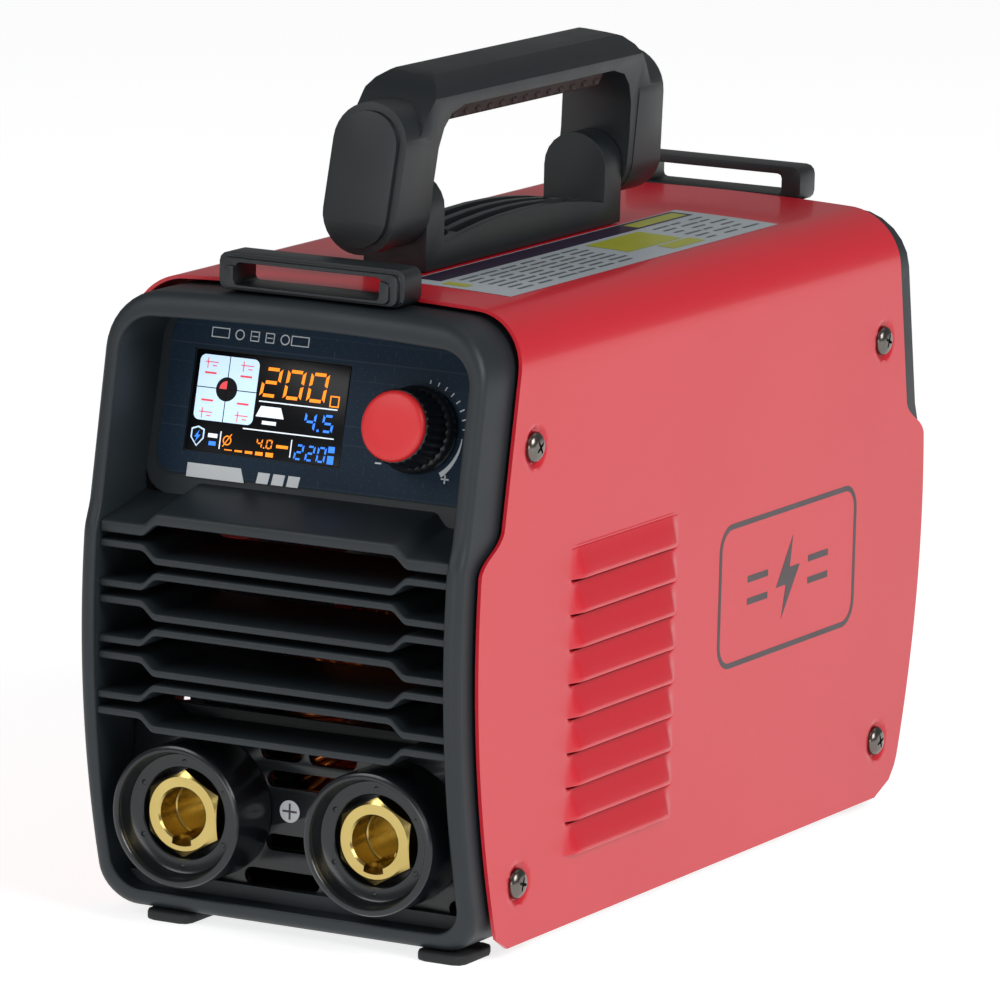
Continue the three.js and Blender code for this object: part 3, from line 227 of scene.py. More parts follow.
def settle(obj, name, material, body, replaces=(), angle=35):
    """Names a finished mesh object and hands it to the frame."""
    obj.name = name
    obj.data.name = name
    obj.data.materials.clear()
    obj.data.materials.append(material)
    shade(obj.data, angle)
    if replaces:
        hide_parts(*replaces)
    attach(obj, body)
    return obj


def mesh_object(name, points, faces, merge=True):
    """A mesh object from points in millimetres, with faces turned outwards and doubles merged if asked."""
    mesh = bpy.data.meshes.new(name)
    mesh.from_pydata([Vector(p) * MM for p in points], [], faces)
    shell = bmesh.new()
    shell.from_mesh(mesh)
    if merge:
        bmesh.ops.remove_doubles(shell, verts=shell.verts, dist=0.002 * MM)
    bmesh.ops.recalc_face_normals(shell, faces=shell.faces)
    shell.to_mesh(mesh)
    shell.free()
    obj = bpy.data.objects.new(name, mesh)
    bpy.context.scene.collection.objects.link(obj)
    return obj


def bake(obj):
    """Replaces the object's mesh with what its modifiers make of it, and removes them."""
    bpy.context.view_layer.update()
    seen = obj.evaluated_get(bpy.context.evaluated_depsgraph_get())
    mesh = bpy.data.meshes.new_from_object(seen)
    obj.modifiers.clear()
    obj.data = mesh
    return obj


def skin(rings, closed=True, around=False, caps=False):
    """Faces between rings of equal length; `around` joins the last ring to the first."""
    size = len(rings[0])
    points = [p for ring in rings for p in ring]
    faces = []
    for i in range(len(rings) if around else len(rings) - 1):
        a, b = i * size, (i + 1) % len(rings) * size
        for j in range(size if closed else size - 1):
            k = (j + 1) % size
            faces.append((a + j, a + k, b + k, b + j))
    if caps:
        faces.append(tuple(range(size))[::-1])
        faces.append(tuple((len(rings) - 1) * size + j for j in range(size)))
    return points, faces


def joined(parts):
    """Several (points, faces) as one."""
    points, faces = [], []
    for part, sides in parts:
        faces += [tuple(i + len(points) for i in face) for face in sides]
        points += part
    return points, faces


def round_turn(steps):
    """Equal angles round a full turn."""
    return [2 * math.pi * i / steps for i in range(steps)]


def prism(shape, place, low, high):
    """A flat shape given a thickness, where place(a, b, out) is a point.

    The shape is a list of corners, or a tuple of two such lists: an outline and the hole in it.
    """
    if isinstance(shape, tuple):
        outline, hole = shape
        levels = [(outline, low), (outline, high), (hole, high), (hole, low)]
    else:
        levels = [(shape, low), (shape, high)]
    rings = [[place(a, b, out) for a, b in corners] for corners, out in levels]
    hollow = len(levels) > 2
    return skin(rings, around=hollow, caps=not hollow)


def prisms(shapes, place, low, high):
    """Several prisms, each a closed body."""
    return joined(prism(shape, place, low, high) for shape in shapes)


def bevelled(obj, width, segments=2, angle=30):
    """Rounds the edges that turn by more than this many degrees."""
    bevel = obj.modifiers.new("edges", "BEVEL")
    bevel.width = width * MM
    bevel.segments = segments
    bevel.limit_method = "ANGLE"
    bevel.angle_limit = math.radians(angle)
    bevel.harden_normals = False
    return bake(obj)


def cad_copy(node):
    """A copy of a CAD node as a connected mesh, with its flat faces rejoined."""
    obj = bpy.data.objects.new(node + "_copy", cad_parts[node].data.copy())
    bpy.context.scene.collection.objects.link(obj)
    shell = bmesh.new()
    shell.from_mesh(obj.data)
    bmesh.ops.remove_doubles(shell, verts=shell.verts, dist=0.01 * MM)
    bmesh.ops.dissolve_limit(
        shell, angle_limit=math.radians(1.0), verts=shell.verts, edges=shell.edges
    )
    shell.to_mesh(obj.data)
    shell.free()
    return obj


def moulded(node, material, body, radius, name=None, angle=40, segments=2):
    """A CAD node with its arrises rounded, as they come out of a mould or off a press."""
    obj = bevelled(cad_copy(node), radius, segments)
    return settle(obj, name or node + "_finished", material, body, (node,), angle)


def extruded(outline, y0, y1):
    """An outline in X and Z carried from y0 to y1."""
    rings = [[(x, y, z) for x, z in outline] for y in (y0, y1)]
    return skin(rings, caps=True)


def round_corners(x0, x1, z0, z1, radius, steps=6):
    """A rounded rectangle, counter-clockwise."""
    points = []
    for cx, cz, quarter in (
        (x1 - radius, z0 + radius, -1), (x1 - radius, z1 - radius, 0),
        (x0 + radius, z1 - radius, 1), (x0 + radius, z0 + radius, 2),
    ):
        for i in range(steps + 1):
            turn = (quarter + i / steps) * math.pi / 2
            points.append((cx + radius * math.cos(turn), cz + radius * math.sin(turn)))
    return points


def lathe(profile, centre, turns=72):
    """A profile of (radius, depth) turned about Y through a centre."""
    x, y, z = centre
    return [
        [(x + radius * math.cos(a), y + depth, z + radius * math.sin(a)) for a in round_turn(turns)]
        for radius, depth in profile
    ]


# ---- copies placed by Geometry Nodes -------------------------------------------------------------


def copier():
    """A node tree that sets one shape at every point, turned by the point's own "turn"."""
    tree = bpy.data.node_groups.new("copies_on_points", "GeometryNodeTree")
    face = tree.interface
    face.new_socket("Geometry", in_out="INPUT", socket_type="NodeSocketGeometry")
    face.new_socket("Shape", in_out="INPUT", socket_type="NodeSocketObject")
    face.new_socket("Size", in_out="INPUT", socket_type="NodeSocketFloat")
    face.new_socket("Finish", in_out="INPUT", socket_type="NodeSocketMaterial")
    face.new_socket("Geometry", in_out="OUTPUT", socket_type="NodeSocketGeometry")
    given = add(tree, "NodeGroupInput").outputs
    shape = add(tree, "GeometryNodeObjectInfo", {"Object": given["Shape"]})
    turn = add(tree, "GeometryNodeInputNamedAttribute", {"Name": "turn"}, data_type="FLOAT_VECTOR")
    angles = add(tree, "FunctionNodeEulerToRotation", {"Euler": turn.outputs["Attribute"]})
    scale = add(
        tree, "ShaderNodeCombineXYZ", {"X": given["Size"], "Y": given["Size"], "Z": given["Size"]}
    )
    placed = add(
        tree, "GeometryNodeInstanceOnPoints",
        {
            "Points": given["Geometry"], "Instance": shape.outputs["Geometry"],
            "Rotation": angles.outputs["Rotation"], "Scale": scale.outputs["Vector"],
        },
    )
    real = add(tree, "GeometryNodeRealizeInstances", {"Geometry": placed.outputs["Instances"]})
    coated = add(
        tree, "GeometryNodeSetMaterial",
        {"Geometry": real.outputs["Geometry"], "Material": given["Finish"]},
    )
    add(tree, "NodeGroupOutput", {"Geometry": coated.outputs["Geometry"]})
    return tree


COPIES = copier()


def copies(name, shape, places, material, body, replaces=(), angle=35, size=1.0):
    """One piece made of a shape set at each (position in mm, turn in radians)."""
    points = bpy.data.meshes.new(name)
    points.from_pydata([Vector(p) * MM for p, _ in places], [], [])
    turns = points.attributes.new("turn", "FLOAT_VECTOR", "POINT")
    for i, (_, turn) in enumerate(places):
        turns.data[i].vector = turn
    obj = bpy.data.objects.new(name, points)
    bpy.context.scene.collection.objects.link(obj)
    setter = obj.modifiers.new("copies", "NODES")
    setter.node_group = COPIES
    values = {"Shape": shape, "Size": size, "Finish": material}
    for item in COPIES.interface.items_tree:
        if item.in_out == "INPUT" and item.name in values:
            setter[item.identifier] = values[item.name]
    bake(obj)
    bpy.data.objects.remove(shape)
    return settle(obj, name, material, body, replaces, angle)


# ---- the outlines that the case is built on ------------------------------------------------------


def end_reach(reach, z, shoulder):
    """How far the case's end stands from its middle at one height: a belly, a waist and a lean."""

    def bulge(height):
        return reach - (height - BELLY) ** 2 / (2 * BULGE_RADIUS)

    if z <= WAIST_LOW:
        return bulge(z)
    above = bulge(WAIST_LOW) - shoulder
    if z >= WAIST_HIGH:
        return above - (z - WAIST_HIGH) * LEAN
    return bulge(WAIST_LOW) - shoulder * (z - WAIST_LOW) / (WAIST_HIGH - WAIST_LOW)


def eased_reach(reach, z, shoulder, spread=2.0):
    """The end's reach with the corners of its waist pressed round."""
    offsets = [spread * (i / 3 - 1) for i in range(7)]
    return sum(end_reach(reach, z + d, shoulder) for d in offsets) / len(offsets)


def smoothstep(t):
    """0 below 0, 1 above 1, and an even S between."""
    t = min(1.0, max(0.0, t))
    return t * t * (3 - 2 * t)


# ---- cover ---------------------------------------------------------------------------------------
LOUVRE_TAPER, LOUVRE_RECESS, LOUVRE_GROOVE = 5.0, 0.5, 2.2
DIMPLE_RADIUS, DIMPLE_FLOOR, DIMPLE_DEPTH = 5.4, 4.5, 1.0
SHEET_SHOWN = 0.95
FRONT_CORNER, REAR_CORNER = 5.0, 10.0
ROW_PITCH, ROW_COUNT = 3.5, 43
SCREW_ROW_PITCH, SCREW_CLEAR = 0.9, 7
# Heights above a louvre's lip at which the sheet has points: close together where it curls.
LOUVRE_RISES = (0.0, 0.15, 0.4, 0.8, 1.4, 2.2, 3.2, 4.4, 5.6, 6.6, 7.4, 8.0, 8.3, 8.6, 8.85)
LIP_EDGE, LIP_CURL = 0.6, 0.8
END_COLUMNS, END_FROM = 22, 92


def cover_rows():
    """Rows up one side as (height, louvre index or None, step of the louvre's lip)."""
    top = COVER_TOP - COVER_CORNER
    heights = {round(COVER_BOTTOM + ROW_PITCH * i, 3) for i in range(ROW_COUNT)}
    heights = {h for h in heights if h < top - 1}
    for _, z in SCREW_PLACES:
        heights = {h for h in heights if abs(h - z) > SCREW_CLEAR}
        heights |= {round(z + SCREW_ROW_PITCH * i, 3) for i in range(-7, 8)}
    low, high = LOUVRE_LOWEST - 1, LOUVRE_LOWEST + LOUVRE_COUNT * LOUVRE_PITCH
    rows = [(h, None, 0) for h in heights if h < low or h > high]
    rows += [(WAIST_LOW + i, None, 0) for i in range(-2, 10)]
    for i in range(LOUVRE_COUNT):
        edge = LOUVRE_LOWEST + i * LOUVRE_PITCH
        rows.append((edge - 0.01, i, -1))
        rows += [(edge + rise, i, 0) for rise in LOUVRE_RISES]
    rows.append((high, None, 0))
    return sorted(set(rows))


def louvre_height(y, z, index, step):
    """How far the sheet stands out at a point of the louvre field."""
    if index is None:
        return 0.0
    ends = smoothstep((y - LOUVRE_FRONT) / LOUVRE_TAPER) * smoothstep((LOUVRE_BACK - y) / LOUVRE_TAPER)
    if step < 0:
        return -(LOUVRE_RECESS + LOUVRE_GROOVE) * ends if index else 0.0
    rise = max(0.0, z - LOUVRE_LOWEST - index * LOUVRE_PITCH)
    recess = LOUVRE_RECESS if index < LOUVRE_COUNT - 1 else 0.0
    lip = LIP_EDGE + (1 - LIP_EDGE) * math.sqrt(1 - (1 - min(1.0, rise / LIP_CURL)) ** 2)
    ramp = min(1.0, max(0.0, (rise - LIP_CURL) / (LOUVRE_PITCH - LIP_CURL)))
    share = 0.7 * ramp + 0.3 * smoothstep(ramp)
    groove = LOUVRE_GROOVE * smoothstep((rise - LOUVRE_PITCH + 1.0) / 0.8) if recess else 0.0
    return ends * (LOUVRE_PROUD * lip * (1 - share) - recess * share - groove)


def dimple(y, z):
    """How far the sheet is pressed in round a screw."""
    deepest = 0.0
    for place, height in SCREW_PLACES:
        away = math.hypot(abs(y) - place, z - height)
        share = smoothstep((DIMPLE_RADIUS - away) / (DIMPLE_RADIUS - DIMPLE_FLOOR))
        deepest = max(deepest, share * DIMPLE_DEPTH)
    return deepest


def cover_columns(z):
    """Distances from the middle of the case at which the sheet has points, at one height."""
    reach = eased_reach(COVER_REACH, z, COVER_SHOULDER)
    front, rear = reach, reach
    if z < COVER_BOTTOM + FRONT_CORNER:
        drop = COVER_BOTTOM + FRONT_CORNER - z
        front -= FRONT_CORNER - math.sqrt(max(0.0, FRONT_CORNER**2 - drop**2))
    if z < COVER_BOTTOM + REAR_CORNER:
        drop = COVER_BOTTOM + REAR_CORNER - z
        rear -= REAR_CORNER - math.sqrt(max(0.0, REAR_CORNER**2 - drop**2))
    columns = [-front + (front - END_FROM) * i / END_COLUMNS for i in range(END_COLUMNS)]
    columns += [-END_FROM, -88]
    columns += [LOUVRE_FRONT + LOUVRE_TAPER * i / 6 for i in range(-1, 7)]
    columns += [-70 + 10 * i for i in range(5)]
    columns += [LOUVRE_BACK - LOUVRE_TAPER * i / 6 for i in range(6, -2, -1)]
    columns += [-10 + 14 * i for i in range(8)]
    columns += [END_FROM + (rear - END_FROM) * i / END_COLUMNS for i in range(END_COLUMNS + 1)]
    return columns


def cover_section():
    """Points across the cover as (x, z, outward x, outward z, louvre index, lip step)."""
    top, flat = COVER_TOP - COVER_CORNER, COVER_HALF_WIDTH - COVER_CORNER
    section = [(COVER_HALF_WIDTH, z, 1.0, 0.0, index, step) for z, index, step in cover_rows()]
    for i in range(13):
        a = i / 12 * math.pi / 2
        c, n = math.cos(a), math.sin(a)
        section.append((flat + COVER_CORNER * c, top + COVER_CORNER * n, c, n, None, 0))
    for i in range(1, 9):
        share = 1 - i / 8
        section.append((flat * share, COVER_TOP + CROWN * (1 - share**2), 0.0, 1.0, None, 0))
    return section + [(-x, z, -nx, nz, i, s) for x, z, nx, nz, i, s in reversed(section[:-1])]


def is_slot(corners, below, above):
    """Whether a face between two rows of the section is the open slot under a louvre."""
    same_louvre = below[4] is not None and below[4] == above[4]
    y = sum(p[1] for p in corners) / 4
    spread = max(p[0] for p in corners) - min(p[0] for p in corners)
    return same_louvre and {below[5], above[5]} == {-1, 0} and LOUVRE_FRONT < y < LOUVRE_BACK and spread > 0.5


def build_cover():
    """One pressed sheet: sides with louvres and screw seats, round shoulders and a crowned top."""
    section = cover_section()
    rings = []
    for x, z, nx, nz, index, step in section:
        ring = []
        for y in cover_columns(z):
            out = louvre_height(y, z, index, step) - (dimple(y, z) if abs(nx) > 0.9 else 0)
            ring.append((x + nx * out, y, z + nz * out))
        rings.append(ring)
    points, faces = skin(rings, closed=False)
    size = len(rings[0])
    kept = [
        f for f in faces
        if not is_slot([points[k] for k in f], section[f[0] // size], section[f[2] // size])
    ]
    obj = mesh_object("cover_sheet", points, kept, merge=False)
    shell = bmesh.new()
    shell.from_mesh(obj.data)
    middle = max(shell.faces, key=lambda f: f.calc_center_median().z)
    if middle.normal.z < 0:
        bmesh.ops.reverse_faces(shell, faces=shell.faces)
    shell.to_mesh(obj.data)
    shell.free()
    sheet = obj.modifiers.new("sheet", "SOLIDIFY")
    sheet.thickness = SHEET_SHOWN * MM
    sheet.offset = -1
    settle(bake(obj), "cover_sheet", POWDER_COAT, "case", ("cover",), 42)


# ---- front and rear mouldings --------------------------------------------------------------------
RIM_INSIDE_HALF, RIM_INSIDE_TOP, RIM_INSIDE_LOW = 50.4, 156.5, 7.8
RIM_BACK, RIM_PANEL_DEPTH = 93.0, 101.0
RIM_OUTER_ROUND, RIM_INNER_ROUND = 2.5, 1.0
HOOD_THICKNESS, HOOD_SLOPE, PANEL_THICKNESS = 3.2, 0.21, 2.5


def case_outline(half, low, high, top_radius, low_radius, crown=CROWN):
    """The case's outline, counter-clockwise from the middle of the underside."""
    points = []
    corner, side, flat = 10, 70, 12
    for i in range(flat // 2 + 1):
        points.append(((half - low_radius) * i / (flat // 2), low))
    for i in range(1, corner + 1):
        a = (-1 + i / corner) * math.pi / 2
        points.append((half - low_radius + low_radius * math.cos(a), low + low_radius * (1 + math.sin(a))))
    rise = high - top_radius - low - low_radius
    for i in range(1, side):
        points.append((half, low + low_radius + rise * i / side))
    for i in range(corner + 1):
        a = i / corner * math.pi / 2
        points.append((half - top_radius * (1 - math.cos(a)), high - top_radius * (1 - math.sin(a))))
    for i in range(1, flat // 2 + 1):
        share = 1 - i / (flat // 2)
        points.append(((half - top_radius) * share, high + crown * (1 - share**2)))
    return points + [(-x, z) for x, z in points[-2:0:-1]]


def front_frame():
    """The frame of the control end: rolled over at its face and hollow behind it."""
    outer = case_outline(END_HALF_WIDTH, 3, END_TOP, 15, 10)
    inner = case_outline(RIM_INSIDE_HALF, RIM_INSIDE_LOW, RIM_INSIDE_TOP, 9, 8)
    width = END_HALF_WIDTH - RIM_INSIDE_HALF
    steps = 5

    def at(share, setback):
        """Points a share of the way from the outer to the inner outline, set back from the face."""
        ring = []
        for (xo, zo), (xi, zi) in zip(outer, inner):
            x, z = xo + (xi - xo) * share, zo + (zi - zo) * share
            ring.append((x, setback - eased_reach(FRONT_REACH, z, RIM_SHOULDER, 1.2), z))
        return ring

    rings = [[(x, -RIM_BACK, z) for x, z in outer]]
    quarter = [i / steps * math.pi / 2 for i in range(steps + 1)]
    for a in quarter:
        inward, back = 1 - math.cos(a), 1 - math.sin(a)
        rings.append(at(RIM_OUTER_ROUND * inward / width, RIM_OUTER_ROUND * back))
    for a in quarter:
        inward, back = 1 - math.sin(a), 1 - math.cos(a)
        rings.append(at(1 - RIM_INNER_ROUND * inward / width, RIM_INNER_ROUND * back))
    rings.append([(x, -RIM_PANEL_DEPTH, z) for x, z in inner])
    rings.append([(x, -RIM_BACK, z) for x, z in inner])
    return skin(rings, around=True)


def panel_point(x, up, out):
    """A point on the leaning control panel: across, up the panel and out from its face."""
    sin, cos = math.sin(PANEL_LEAN), math.cos(PANEL_LEAN)
    return (x, PANEL_Y + up * sin - out * cos, PANEL_Z + up * cos + out * sin)


def up_panel(z):
    """How far up the leaning panel a height is."""
    return (z - PANEL_Z) / math.cos(PANEL_LEAN)


def blade_outline(end_height, lift, thickness):
    """A blade seen from the front: level ends, eased slopes and a middle raised by the lift."""
    half = RIM_INSIDE_HALF + 0.3
    right = [(half, 0), (38.8, 0), (38.1, 0.04), (37.4, 0.14), (34.9, 0.86), (34.2, 0.96), (33.5, 1)]
    line = [(x, end_height + share * lift) for x, share in right]
    line += [(-x, z) for x, z in reversed(line)]
    return [(x, z - thickness / 2) for x, z in reversed(line)] + [(x, z + thickness / 2) for x, z in line]


def build_front_moulding():
    """The frame, the panel, the hood below it, the grille's blades and the ledge at the bottom."""
    rim = mesh_object("front_rim", *front_frame())
    settle(rim, "front_rim", TEXTURED_ABS, "case", ("front_bezel",), 50)

    half = RIM_INSIDE_HALF + 0.2
    plate = round_corners(-half, half, -4, up_panel(157.3), 8)
    panel = mesh_object("control_panel", *prism(plate, panel_point, -PANEL_THICKNESS, 0))
    settle(panel, "control_panel", TEXTURED_ABS, "case", (), 30)

    depth = PANEL_Y - BLADE_Y + 1
    outline = blade_outline(GRILLE_TOP, GRILLE_LIFT, HOOD_THICKNESS)
    rings = [[(x, BLADE_Y + y, z + HOOD_SLOPE * y) for x, z in outline] for y in (0, depth)]
    hood = bevelled(mesh_object("hood", *skin(rings, caps=True)), 0.9, 3, 25)
    settle(hood, "hood", TEXTURED_ABS, "case", (), 40)

    to_plate = PLATE_Y - PLATE_GAP - BLADE_Y
    for name, lift, rows, drop, depth in (
        ("upper", GRILLE_LIFT, (1, 2, 3), 0, BLADE_DEPTH),
        ("lower", -GRILLE_LIFT, (0, 1, 2), GRILLE_PAIR, BLADE_DEPTH),
        ("lowest", -GRILLE_LIFT, (3,), GRILLE_PAIR, to_plate),
    ):
        blade = extruded(blade_outline(0, lift, BLADE_THICKNESS), 0, depth)
        shape = bevelled(mesh_object(name, *blade), 0.65, 3, 40)
        places = [((0, BLADE_Y, GRILLE_TOP - drop - i * GRILLE_PITCH), (0, 0, 0)) for i in rows]
        copies(f"grille_blades_{name}", shape, places, TEXTURED_ABS, "case", (), 40)

    ledge = extruded(round_corners(-50.2, 50.2, 5.5, 11.5, 1.0), PLATE_Y - 3, PLATE_Y - PLATE_GAP)
    settle(mesh_object("ledge", *ledge), "lower_ledge", TEXTURED_ABS, "case")


# ---- control panel -------------------------------------------------------------------------------
# How far the film's, the lens's and the prints' faces stand in front of the panel.
FILM_OUT, LENS_OUT = 0.6, 0.35
PRINT_THICKNESS, PRINT_STEP = 0.028, 0.03
PRINT_OUT, GLOW_OUT = FILM_OUT + PRINT_STEP, LENS_OUT + PRINT_STEP
FIGURE_LEAN, FIGURE_GAP = 0.1, 0.22
SCALE_RADIUS = 12.1
# Which of the seven bars are lit in the figures that the display shows.
SEGMENTS = {"0": "abcdef", "2": "abged", "4": "fgbc", "5": "afgcd"}


def digit(value, x, s, width, height, stroke):
    """The bars of one seven-bar figure, as polygons on the panel."""
    t, g, middle = stroke, stroke * FIGURE_GAP, height / 2
    left, right, over, under = t + g, width - t - g, middle + t / 2, middle - t / 2
    bars = {
        "a": [(left, height), (right, height), (right, height - t), (left, height - t)],
        "b": [(width, height - g), (width - t, height - left), (width - t, over + g), (width, middle + g)],
        "c": [(width, g), (width - t, left), (width - t, under - g), (width, middle - g)],
        "d": [(left, 0), (right, 0), (right, t), (left, t)],
        "e": [(0, g), (t, left), (t, under - g), (0, middle - g)],
        "f": [(0, height - g), (t, height - left), (t, over + g), (0, middle + g)],
        "g": [(left, over), (right, over), (right, under), (left, under)],
    }
    return [[(x + px + py * FIGURE_LEAN, s + py) for px, py in bars[k]] for k in SEGMENTS[value]]


def bar(x0, s0, x1, s1):
    """A rectangle's corners."""
    return [(x0, s0), (x1, s0), (x1, s1), (x0, s1)]


def number(text, x, s, width, height, stroke, gap):
    """Figures and points from left to right."""
    shapes = []
    for mark in text:
        if mark == ".":
            shapes.append(bar(x, s, x + stroke, s + stroke))
            x += stroke + gap * 0.6
        else:
            shapes += digit(mark, x, s, width, height, stroke)
            x += width + gap
    return shapes


def ring_mark(x, s, outer, inner):
    """A ring: its outline and its hole."""
    return (disc_mark(x, s, outer), disc_mark(x, s, inner))


def frame_mark(x0, s0, x1, s1, line):
    """A rectangle's outline, drawn with a line of this width."""
    return (bar(x0, s0, x1, s1), bar(x0 + line, s0 + line, x1 - line, s1 - line))


def disc_mark(x, s, radius, steps=32):
    """A disc's outline."""
    return [(x + radius * math.cos(a), s + radius * math.sin(a)) for a in round_turn(steps)]


def printed(name, shapes, out, material):
    """Thin marks on the panel, joined into one piece; out is how far their faces stand in front."""
    obj = mesh_object(name, *prisms(shapes, panel_point, out - PRINT_THICKNESS, out), merge=False)
    settle(obj, name, material, "case")


def screen_spot(u, v):
    """A point of the display from its left edge and its top edge, as shares of its size."""
    x = DISPLAY_X - DISPLAY_HALF_WIDTH + u * 2 * DISPLAY_HALF_WIDTH
    return x, up_panel(DISPLAY_Z) + DISPLAY_HALF_HEIGHT - v * 2 * DISPLAY_HALF_HEIGHT


def screen_bar(u0, v0, u1, v1):
    """A rectangle between two points of the display."""
    (x0, s0), (x1, s1) = screen_spot(u0, v1), screen_spot(u1, v0)
    return bar(x0, s0, x1, s1)


def on_display(name, shapes, layer, material):
    """Lit or printed shapes on the display; a higher layer lies in front of a lower one."""
    printed(name, shapes, GLOW_OUT + layer * PRINT_STEP, material)


def build_mode_chart():
    """Four quadrants of a mode chart, with a round pointer in the middle."""
    (x0, low), (x1, high) = screen_spot(0.035, 0.69), screen_spot(0.415, 0.055)
    on_display("mode_chart", [round_corners(x0, x1, low, high, 1.6, 5)], 0, LIT_PALE)
    cx, cs, half_line = (x0 + x1) / 2, (low + high) / 2, 0.12
    lines = [bar(cx - half_line, low, cx + half_line, high), bar(x0, cs - half_line, x1, cs + half_line)]
    on_display("mode_chart_lines", lines + [disc_mark(cx, cs, 3.1)], 1, LIT_BLACK)
    turns = [math.radians(90 + 9 * i) for i in range(11)]
    icons = [[(cx, cs)] + [(cx + 2.1 * math.cos(a), cs + 2.1 * math.sin(a)) for a in turns]]
    for side, level in ((-1, 1), (1, 1), (-1, -1), (1, -1)):
        x, s = cx + side * 5.2, cs + level * 5.0
        chart, dash = s + level * 1.4, s - level * 1.5
        icons += [
            bar(x - 1.9, chart, x + 1.9, chart + 0.25), bar(x - 1.2, chart - 1.5, x - 0.95, chart + 1.2),
            bar(x + 0.3, chart - 0.9, x + 1.6, chart - 0.65), bar(x - 1.7, dash, x + 1.7, dash + 0.5),
        ]
    on_display("mode_chart_marks", icons, 2, LIT_RED)


def build_shield():
    """A shield with a pale edge and a blue bolt."""
    (x0, s0), (x1, s1) = screen_spot(0.035, 0.95), screen_spot(0.12, 0.75)
    mid, middle = (x0 + x1) / 2, (s0 + s1) / 2
    outline = [(mid, s0), (x1, s0 + 2.2), (x1, s1 - 0.7), (mid, s1), (x0, s1 - 0.7), (x0, s0 + 2.2)]
    on_display("shield_edge", [outline], 0, LIT_PALE)
    inside = [(mid + (x - mid) * 0.8, middle + (s - middle) * 0.84) for x, s in outline]
    on_display("shield_field", [inside], 1, LIT_BLACK)
    bolt = [
        (mid + 0.5, s1 - 1.0), (mid - 0.9, s0 + 2.4), (mid - 0.1, s0 + 2.4),
        (mid - 0.5, s0 + 1.1), (mid + 0.9, s0 + 3.0), (mid + 0.1, s0 + 3.0),
    ]
    on_display("shield_bolt", [bolt], 2, LIT_BLUE)


def build_display():
    """The glass, and on it the readings and plain marks in the places of its icons."""
    half_w, half_h = DISPLAY_HALF_WIDTH - 0.3, DISPLAY_HALF_HEIGHT - 0.3
    s = up_panel(DISPLAY_Z)
    outline = round_corners(DISPLAY_X - half_w, DISPLAY_X + half_w, s - half_h, s + half_h, 0.4, 3)
    glass = bevelled(mesh_object("display_glass", *prism(outline, panel_point, 0.02, LENS_OUT)), 0.15, 2)
    settle(glass, "display_glass", DISPLAY_BLACK, "case", ("display_lens",))
    build_mode_chart()

    orange = number("200", *screen_spot(0.435, 0.4), 5.3, 7.6, 0.85, 1.5)
    orange += number("4.0", *screen_spot(0.455, 0.895), 1.7, 2.4, 0.35, 0.5)
    (x0, low), (x1, high) = screen_spot(0.885, 0.425), screen_spot(0.945, 0.315)
    orange.append(frame_mark(x0, low, x1, high, 0.35))
    x, s = screen_spot(0.27, 0.86)
    orange.append(ring_mark(x, s, 1.25, 0.95))
    orange.append([(x - 1.3, s - 1.7), (x - 1.0, s - 1.7), (x + 1.3, s + 1.7), (x + 1.0, s + 1.7)])
    orange.append(screen_bar(0.585, 0.845, 0.66, 0.875))
    for i in range(5):
        u, grow = 0.26 + i * 0.066, i * 0.004
        orange.append(screen_bar(u, 0.945 - grow, u + 0.048, 0.955 + grow))
    on_display("readout_orange", orange, 0, LIT_ORANGE)
    build_shield()

    blue = number("4.5", *screen_spot(0.735, 0.675), 3.3, 4.6, 0.62, 0.8)
    blue += number("220", *screen_spot(0.70, 0.965), 2.5, 4.0, 0.5, 0.75)
    blue += [
        screen_bar(0.915, 0.8, 0.955, 0.86), screen_bar(0.915, 0.89, 0.955, 0.97),
        screen_bar(0.155, 0.885, 0.2, 0.925),
    ]
    on_display("readout_blue", blue, 0, LIT_BLUE)

    white = [
        screen_bar(0.44, 0.44, 0.94, 0.452), screen_bar(0.36, 0.72, 0.94, 0.732),
        screen_bar(0.222, 0.78, 0.229, 0.95), screen_bar(0.675, 0.78, 0.682, 0.95),
        screen_bar(0.145, 0.81, 0.205, 0.85), screen_bar(0.475, 0.63, 0.565, 0.665),
    ]
    (x0, s0), (x1, s1) = screen_spot(0.43, 0.595), screen_spot(0.61, 0.49)
    white.append([(x0, s0), (x1, s0), (x1 - 1.2, s1), (x0 + 1.2, s1)])
    on_display("readout_white", white, 0, LIT_WHITE)


def slanted(left, low, high, width, slant):
    """A block whose sides lean by the slant."""
    return [(left, low), (left + width, low), (left + width + slant, high), (left + slant, high)]


def knob_scale(s):
    """Ticks that grow along the knob's upper right, and a wedge that widens along its lower right."""
    def at(a, radius, aside=0.0):
        c, n = math.cos(a), math.sin(a)
        return (KNOB_X + radius * c - aside * n, s + radius * n + aside * c)

    shapes = []
    for i in range(8):
        a, start, tip = math.radians(84 - i * 11), SCALE_RADIUS, SCALE_RADIUS + 0.9 + 0.1 * i
        shapes.append([at(a, start, 0.16), at(a, start, -0.16), at(a, tip, -0.16), at(a, tip, 0.16)])
    turns = [math.radians(-4 - 3.2 * i) for i in range(17)]
    wedge = [at(a, SCALE_RADIUS) for a in turns]
    wedge += [at(a, SCALE_RADIUS + 0.25 + 0.07 * i) for i, a in reversed(list(enumerate(turns)))]
    return shapes + [wedge]


